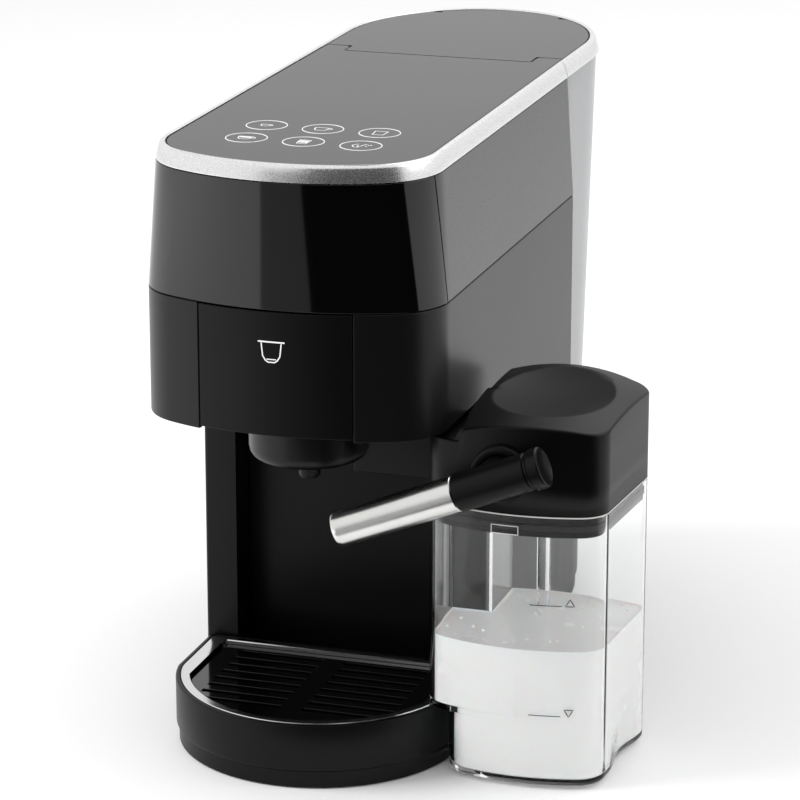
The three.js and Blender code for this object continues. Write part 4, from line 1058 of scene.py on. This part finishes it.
# %% Bubbles on the milk
def bubbles():
    """Small half-sunk bubbles, scattered on the surface."""
    geo = Geo("bubbles")
    density = geo.input("Bubbles per square metre", 7000.0)
    small = geo.input("Smallest radius", 0.25 * MM)
    large = geo.input("Largest radius", 0.8 * MM)
    seed = geo.input("Seed", 11)
    scatter = geo.node(
        "GeometryNodeDistributePointsOnFaces", {},
        {"Mesh": geo.inside.outputs[0], "Density": density, "Seed": seed},
    )
    size = geo.node("FunctionNodeRandomValue", {"data_type": "FLOAT"}, {2: small, 3: large, "Seed": seed})
    bead = geo.node("GeometryNodeMeshIcoSphere", {}, {"Radius": 1.0, "Subdivisions": 2})
    many = geo.node(
        "GeometryNodeInstanceOnPoints", {},
        {"Points": scatter.outputs[0], "Instance": bead.outputs[0], "Scale": size.outputs[1]},
    )
    geo.result(many.outputs[0], milk)
    outline = milk_line(gap + 2.5)
    base = mesh_of("milk_surface", at_height(outline, MILK_LEVEL), [range(len(outline))])
    return geo.mesh("milk_bubbles", base)


froth = bubbles()
froth.data.shade_smooth()
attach(froth, "milk_jug")
print("bubbles:", len(froth.data.polygons) // 80)


# %% Level marks
def box_front(x):
    """How far forward the container's bowed front is at x."""
    return MILK["front"] + MILK["bow"] - np.sqrt(MILK["bow"] ** 2 - (x - MILK["axis"]) ** 2)


def front_place(flat):
    """Flat sign coordinates onto the container's bowed front."""
    return np.column_stack([flat[:, 0], box_front(flat[:, 0]) - flat[:, 2] - 0.02, flat[:, 1]])


MARKS = {"upper": (81.8, 1), "lower": (33.2, -1)}
for name, (z, way) in MARKS.items():
    start = MILK["axis"] + 8.0
    rule = np.column_stack([np.linspace(start, start + 13.2, 8), np.full(8, z)])
    arrow = np.array([(-1.8, -1.5), (1.8, -1.5), (0.0, 1.6)]) * [1, way] + [start + 16.5, z + 1.4]
    lines = [(rule, 0.35, False), (arrow, 0.4, True)]
    print(sign(f"mark_{name}", lines, front_place, dark_ink, "milk_jug").name)

# %% Rim bead and latch mark
bead_rings = [
    (milk_line(0.0), BOX_RIM - 0.35), (milk_line(-0.14), BOX_RIM - 0.1), (milk_line(-0.1), BOX_RIM + 0.2),
    (milk_line(1.2), BOX_RIM + 0.24), (milk_line(1.2), BOX_RIM + 0.05), (milk_line(0.4), BOX_RIM - 0.35),
]
bead = loft("rim_bead", bead_rings, hose, "milk_jug", "hose", looped=True)
LATCH = {"x": MILK["axis"] - 2.9, "z": 113.4, "wide": 11.5, "tall": 3.6}
latch_x, latch_z = LATCH["wide"] / 2, LATCH["tall"] / 2
latch_line = [(-latch_x, -latch_z), (latch_x, -latch_z), (latch_x, latch_z), (-latch_x, latch_z)]
latch = [(np.array(latch_line) + [LATCH["x"], LATCH["z"]], 0.28, True)]
print(bead.name, sign("latch_outline", latch, front_place, ink, "milk_jug").name)

# %% [markdown]
# ## Milk lid
# The lid follows the container's outline and is domed, with a round dish scooped out of its crown, and its
# left part is low where it goes under the head. Its top is a height above the plan, so rings of the outline
# shrink towards a middle point and each corner takes the lowest of the three surfaces. The first rings
# round the edge over.

# %% Lid skin
LID_LOW = level("milk_lid", 0)
DOME = {"x": MILK_LEFT + 45.5, "y": 84.0, "top": 164.2, "bow_x": 100.0, "bow_y": 260.0, "height": 60.0}
SCOOP = {"x": MILK_LEFT + 46.5, "y": 62.0, "bottom": 157.2, "radius": 110.0}
LOW_TOP, LOW_RIGHT = 148.6, HALF + 5.6
LID_MIDDLE = np.array([MILK_LEFT + 45.0, 64.0])
LID_FINE = 70


def lid_top(points):
    """Height of the lid's top at each (x, y)."""
    x, y = points[:, 0], points[:, 1]
    d = DOME
    share_x = (x - d["x"]) ** 2 / (d["bow_x"] * d["height"])
    share_y = (y - d["y"]) ** 2 / (d["bow_y"] * d["height"])
    crown = d["top"] - d["height"] * (1 - np.sqrt(np.clip(1 - share_x - share_y, 0, 1)))
    away = (x - SCOOP["x"]) ** 2 + (y - SCOOP["y"]) ** 2
    dish = SCOOP["bottom"] + SCOOP["radius"] - np.sqrt(SCOOP["radius"] ** 2 - np.minimum(away, 8000))
    top = np.minimum(crown, dish)
    return np.where(x < LOW_RIGHT, np.minimum(top, LOW_TOP), top)


def thicken(outline, longest=2.2):
    """The outline with more corners, none further apart than longest."""
    made = []
    for a, b in zip(outline, np.roll(outline, -1, 0)):
        steps = max(1, int(np.linalg.norm(b - a) // longest))
        made += [a + (b - a) * i / steps for i in range(steps)]
    return np.array(made)


lid_outline = thicken(milk_line())
lid_count = len(lid_outline)
edge_top = lid_top(lid_outline)
lid_rows = [
    np.column_stack([lid_outline, LID_LOW + share * (edge_top - LID_LOW)]) for share in (0.0, 0.34, 0.67)
]
EDGE_ROUND = 0.9
reach = np.linalg.norm(lid_outline - LID_MIDDLE, axis=1)[:, None]


def lid_row(share, drop=0.0):
    """The outline drawn in to a share of its reach, on the lid's top or a drop below it."""
    moved = LID_MIDDLE + (lid_outline - LID_MIDDLE) * share
    return np.column_stack([moved, lid_top(moved) - drop])


for turn in np.linspace(0, math.pi / 2, 5):
    pull, drop = EDGE_ROUND * (1 - math.cos(turn)), EDGE_ROUND * (1 - math.sin(turn))
    lid_rows.append(lid_row(1 - pull / reach, drop))
lid_rows += [lid_row(share) for share in np.linspace(0.955, 0.02, LID_FINE)]
lid_points = np.vstack(lid_rows)
lid_faces = quads(len(lid_rows), lid_count, around=True) + caps(lid_count, len(lid_rows))[1:]
lid_skin = piece(
    "lid_skin", lid_points, lid_faces, matte, "milk_jug", "matte", ["milk_lid"], wall=WALL, closed=False
)
print(lid_skin.name, len(lid_faces), "faces, top", round(lid_points[:, 2].max(), 1))

# %% [markdown]
# ## Spout
# The spout turns on a pivot ring in the lid's front: a black sleeve, a stainless tube and a pressed cap on
# one tilted axis. Each is a profile spun about that axis, so one function lathes a profile round any line.


# %% A lathe about any axis
def lathe(name, profile, start, along, finish, body, nodes, slot="matte", sides=72):
    """Spins (radius, distance) pairs about a line. A radius of 0 at either end closes the body."""
    along = np.array(along, float) / np.linalg.norm(along)
    across = np.cross(along, [0, 1, 0] if abs(along[1]) < 0.9 else [1, 0, 0])
    across /= np.linalg.norm(across)
    other = np.cross(along, across)
    turn = np.linspace(0, 2 * math.pi, sides, endpoint=False)
    round_line = np.cos(turn)[:, None] * across + np.sin(turn)[:, None] * other
    looped = profile[0] == profile[-1]
    rows = [
        np.array(start) + along * distance + round_line * max(radius, 1e-3)
        for radius, distance in (profile[:-1] if looped else profile)
    ]
    faces = quads(len(rows), sides, around=True, stacked=looped)
    faces += [] if looped else caps(sides, len(rows))
    return piece(name, np.vstack(rows), faces, finish, body, slot, nodes)


PIVOT = np.array([MILK_LEFT + 35, 15.0, 137.5])
MOUTH_WAY = np.array([-math.cos(SPOUT_TILT), 0, -math.sin(SPOUT_TILT)])
SLEEVE, TUBE, CAP = 8.0, 7.7, 8.6
TUBE_START, TUBE_END = 16.0, 71.0
tube_profile = [
    (TUBE - 0.25, TUBE_START), (TUBE, TUBE_START + 0.3), (TUBE, TUBE_END - 2.2),
    (TUBE + 0.02, TUBE_END - 2.0), (TUBE + 0.02, TUBE_END - 0.4), (TUBE - 0.2, TUBE_END),
    (TUBE - 0.6, TUBE_END), (TUBE - 0.8, TUBE_END - 0.3), (TUBE - 0.8, TUBE_START),
    (TUBE - 0.25, TUBE_START),
]
tube = lathe("spout_steel", tube_profile, PIVOT, MOUTH_WAY, steel, "milk_spout", ["spout_tube"], "steel", 96)
cap_start = -18.5
cap_profile = [
    (0.0, cap_start), (CAP - 0.3, cap_start), (CAP, cap_start - 0.3), (CAP, cap_start - 4.3),
    (CAP - 0.5, cap_start - 4.9), (CAP - 1.3, cap_start - 5.0), (CAP - 1.7, cap_start - 4.7),
    (0.0, cap_start - 4.1),
]
cap = lathe("spout_cap_turned", cap_profile, PIVOT, MOUTH_WAY, matte, "milk_spout", ["spout_cap"])
sleeve_profile = [
    (3.0, -18.2), (SLEEVE - 1.1, -18.2), (SLEEVE - 0.6, -17.9), (SLEEVE - 0.6, -16.9), (SLEEVE, -16.5),
    (SLEEVE, 15.3), (SLEEVE - 0.4, 15.7), (TUBE - 1.2, 15.7), (TUBE - 1.2, 26.0), (3.0, 26.0), (3.0, -18.2),
]
sleeve = lathe("spout_sleeve", sleeve_profile, PIVOT, MOUTH_WAY, matte, "milk_spout", ["spout_arm"])
NECK, SHAFT, NECK_LONG, SHAFT_LONG = 8.3, 5.0, 11.9, 21.6
neck_profile = [
    (3.0, 0.0), (NECK, 0.0), (NECK, NECK_LONG - 0.4), (NECK - 0.4, NECK_LONG), (SHAFT, NECK_LONG),
    (SHAFT, SHAFT_LONG - 0.4), (SHAFT - 0.4, SHAFT_LONG), (3.0, SHAFT_LONG), (3.0, 0.0),
]
neck = lathe("spout_neck", neck_profile, PIVOT, [0, 1, 0], matte, "milk_spout", ["spout_arm"])
print(tube.name, cap.name, sleeve.name, neck.name)

# %% Pivot ring
ring_back = MILK["front"] - 0.4
ring_profile = [
    (8.6, 0.0), (12.3, 0.0), (12.3, 1.7), (11.9, 2.4), (11.0, 2.6), (9.3, 2.6), (8.8, 2.3), (8.6, 1.8),
    (8.6, 0.0),
]
pivot_eye = [PIVOT[0], ring_back, PIVOT[2]]
pivot = lathe("pivot_ring", ring_profile, pivot_eye, [0, -1, 0], satin, "milk_jug", ["spout_pivot_ring"])
print(pivot.name)

# %% [markdown]
# ## Coffee outlet
# Under the head hangs the outlet, a stepped black dish round the nozzle. Its profile is rounded more finely
# than the frame's, because its curved lower edge shows against the dark recess.

# %% Outlet dish and nozzle
BREW_Y = 46.0
OUTLET_TOP, OUTLET_LOW = level("coffee_outlet", 1), level("coffee_outlet", 0)
DISH, SKIRT, BORE = 13.4, 25.4, 4.9
outlet_profile = [
    (BORE, 0.0), (DISH - 2, 0.0), (DISH - 0.9, 0.3), (DISH - 0.2, 1.1), (DISH, 2.2), (DISH + 0.5, 2.4),
    (SKIRT - 5.4, 2.5), (SKIRT - 3.2, 3.0), (SKIRT - 1.6, 4.1), (SKIRT - 0.5, 5.7), (SKIRT, 8.0),
    (SKIRT, OUTLET_TOP - OUTLET_LOW), (SKIRT - 2.4, OUTLET_TOP - OUTLET_LOW), (SKIRT - 2.4, 8.0),
    (SKIRT - 6, 5.0), (BORE, 4.0), (BORE, 0.0),
]
outlet_eye = [0, BREW_Y, OUTLET_LOW]
outlet = lathe(
    "outlet_dish", outlet_profile, outlet_eye, [0, 0, 1], satin, "machine", ["coffee_outlet"], sides=96
)
print(outlet.name)

# %% [markdown]
# ## Frosted water tank
# The tank fills the machine's rear above the housing and narrows a little towards its foot. The CAD node
# keeps its inner steps and valve hole, so the tank is not rebuilt: smooth shading is enough, as it is for
# the rest of the frame.

# %% Smooth shading and finishes for the frame's own nodes
EDGED = {
    "rear_housing": 0.6, "column_front": 0.5, "base_plate": 0.5, "steam_port_block": 0.5, "mains_inlet": 0.4,
    "power_switch": 0.5, "heater_block": 0.8,
}


def smoothing():
    """One tree for all of them: weld the loose triangles, and shade smooth except across real edges."""
    geo = Geo("smooth_by_angle")
    angle = geo.input("Sharp above", SMOOTH_BELOW)
    near = geo.input("Weld distance", 0.004 * MM)
    weld = geo.node("GeometryNodeMergeByDistance", {}, {"Geometry": geo.inside.outputs[0], "Distance": near})
    soft = geo.node("GeometryNodeSetShadeSmooth", {"domain": "FACE"}, {"Geometry": weld.outputs[0]})
    soft.inputs["Shade Smooth"].default_value = True
    bend = geo.node("GeometryNodeInputMeshEdgeAngle")
    sharp = geo.node("FunctionNodeCompare", {"operation": "GREATER_THAN"}, {0: bend.outputs[0], 1: angle})
    crisp = geo.node(
        "GeometryNodeSetShadeSmooth", {"domain": "EDGE"},
        {"Geometry": soft.outputs[0], "Selection": sharp.outputs[0], "Shade Smooth": False},
    )
    geo.tree.links.new(crisp.outputs[0], geo.outside.inputs[0])
    return geo


SMOOTHING = smoothing()


def dress(node):
    """A frame node's finish and smooth shading; its own mesh stays as it is."""
    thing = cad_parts[node]
    slot = thing.data.materials[0].name.split(".")[0]
    thing.data.materials.clear()
    thing.data.materials.append(SLOTS[slot].material)
    runner = thing.modifiers.new("smooth", "NODES")
    runner.node_group = SMOOTHING.tree
    for identifier, value in SMOOTHING.values.items():
        runner[identifier] = value
    if node in EDGED:
        add_bevel(thing, EDGED[node], 50)
    return slot


dressed = {node: dress(node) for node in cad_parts}
print("dressed", len(dressed), "nodes:", sorted(set(dressed.values())))

# %% [markdown]
# ## Room and light
# The machine stands on a plain pale floor in a white room, as black goods are lit: dark plastic has hardly
# any colour of its own, and its shape is read from white walls mirrored in it. A dark card stands in front of
# the machine, where only mirror rays see it, so the front keeps deep blacks beside soft grey edges. The key
# lamp is the other way round: mirror rays pass it by, so that it leaves no glare on the touch glass.

# %% Floor and world
FLOOR_SIZE = 14.0


def board_of(name, corners):
    mesh = bpy.data.meshes.new(name)
    mesh.from_pydata(corners, [], [(0, 1, 2, 3)])
    thing = linked(name, mesh)
    return thing


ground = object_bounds()[0].z
square = ((-1, -1), (1, -1), (1, 1), (-1, 1))
floor = board_of("floor", [(x * FLOOR_SIZE, y * FLOOR_SIZE, ground) for x, y in square])
paint = Finish("pale_floor", ior=1.3)
paint.feed("Base Color", paint.blend(paint.noise(3.0), (0.88, 0.88, 0.88), (0.90, 0.90, 0.90)))
paint.hold("Roughness", 0.75)
floor.data.materials.append(paint.material)

world = bpy.data.worlds.new("white_room")
world.use_nodes = True
backdrop = next(n for n in world.node_tree.nodes if n.type == "BACKGROUND")
backdrop.inputs["Color"].default_value = (1.0, 1.0, 1.0, 1)
backdrop.inputs["Strength"].default_value = 0.92
bpy.context.scene.world = world
bpy.context.scene.view_settings.view_transform = "Standard"
print("floor at", round(ground, 4), "m")

# %% Lamps and the dark card
MIDDLE = Vector((0.0, 0.0, 0.13))


def way_to(azimuth, elevation):
    """The direction from the machine to a place at these angles, in degrees from the front."""
    a, e = math.radians(azimuth), math.radians(elevation)
    return Vector((math.sin(a) * math.cos(e), -math.cos(a) * math.cos(e), math.sin(e)))


def turned(thing, back):
    """Makes a lamp or a camera look back along a direction."""
    thing.rotation_mode = "QUATERNION"
    thing.rotation_quaternion = (-back).to_track_quat("-Z", "Y")


def lamp(name, azimuth, elevation, distance, size, watts):
    """A soft square lamp that looks at the machine's middle."""
    back = way_to(azimuth, elevation)
    light = bpy.data.lights.new(name, "AREA")
    light.size = size
    light.energy = watts
    thing = linked(name, light)
    thing.location = MIDDLE + back * distance
    turned(thing, back)
    thing.visible_glossy = name != "key"


lamp("key", -62, 30, 1.5, 0.8, 14)
lamp("fill", 104, 36, 1.8, 1.0, 7)
lamp("rim", 160, 50, 1.8, 1.0, 5)


def dark_card(name, azimuths, near, far, tall, shade):
    """A dark screen in front: a strip of floor and a wall behind it that only mirror rays meet."""
    corners = []
    for turn, reach in ((azimuths[0], near), (azimuths[1], near), (azimuths[1], far), (azimuths[0], far)):
        a = math.radians(turn)
        corners.append((math.sin(a) * reach, -math.cos(a) * reach, ground + 0.002))
    wall = [corners[3], corners[2], (*corners[2][:2], tall), (*corners[3][:2], tall)]
    finish = Finish(name, roughness=1.0)
    finish.hold("Base Color", (shade, shade, shade, 1))
    finish.hold("Specular IOR Level", 0.0)
    for part, shape in (("floor", corners), ("wall", wall)):
        card = board_of(f"{name}_{part}", shape)
        card.data.materials.append(finish.material)
        card.visible_camera = card.visible_diffuse = card.visible_shadow = False
        card.visible_transmission = False


dark_card("dark_card", (-4, 70), 0.34, 2.4, 2.2, 0.002)
dark_card("grey_card", (-22, -4), 0.34, 2.4, 1.2, 0.30)

# %% [markdown]
# ## Camera
# The camera looks from the front, a little from the right and from above. Its long lens keeps the upright
# edges nearly parallel.

# %% Camera
CAMERA_AT = (0.43605, -1.47757, 0.59063)
AZIMUTH, ELEVATION, LENS = 17.70, 16.93, 161.0
eye = bpy.data.cameras.new("camera")
eye.lens, eye.sensor_width = LENS, 36.0
camera = linked("camera", eye)
camera.location = CAMERA_AT
turned(camera, way_to(AZIMUTH, ELEVATION))
bpy.context.scene.camera = camera
print("camera at", CAMERA_AT, "with a lens of", LENS, "mm")
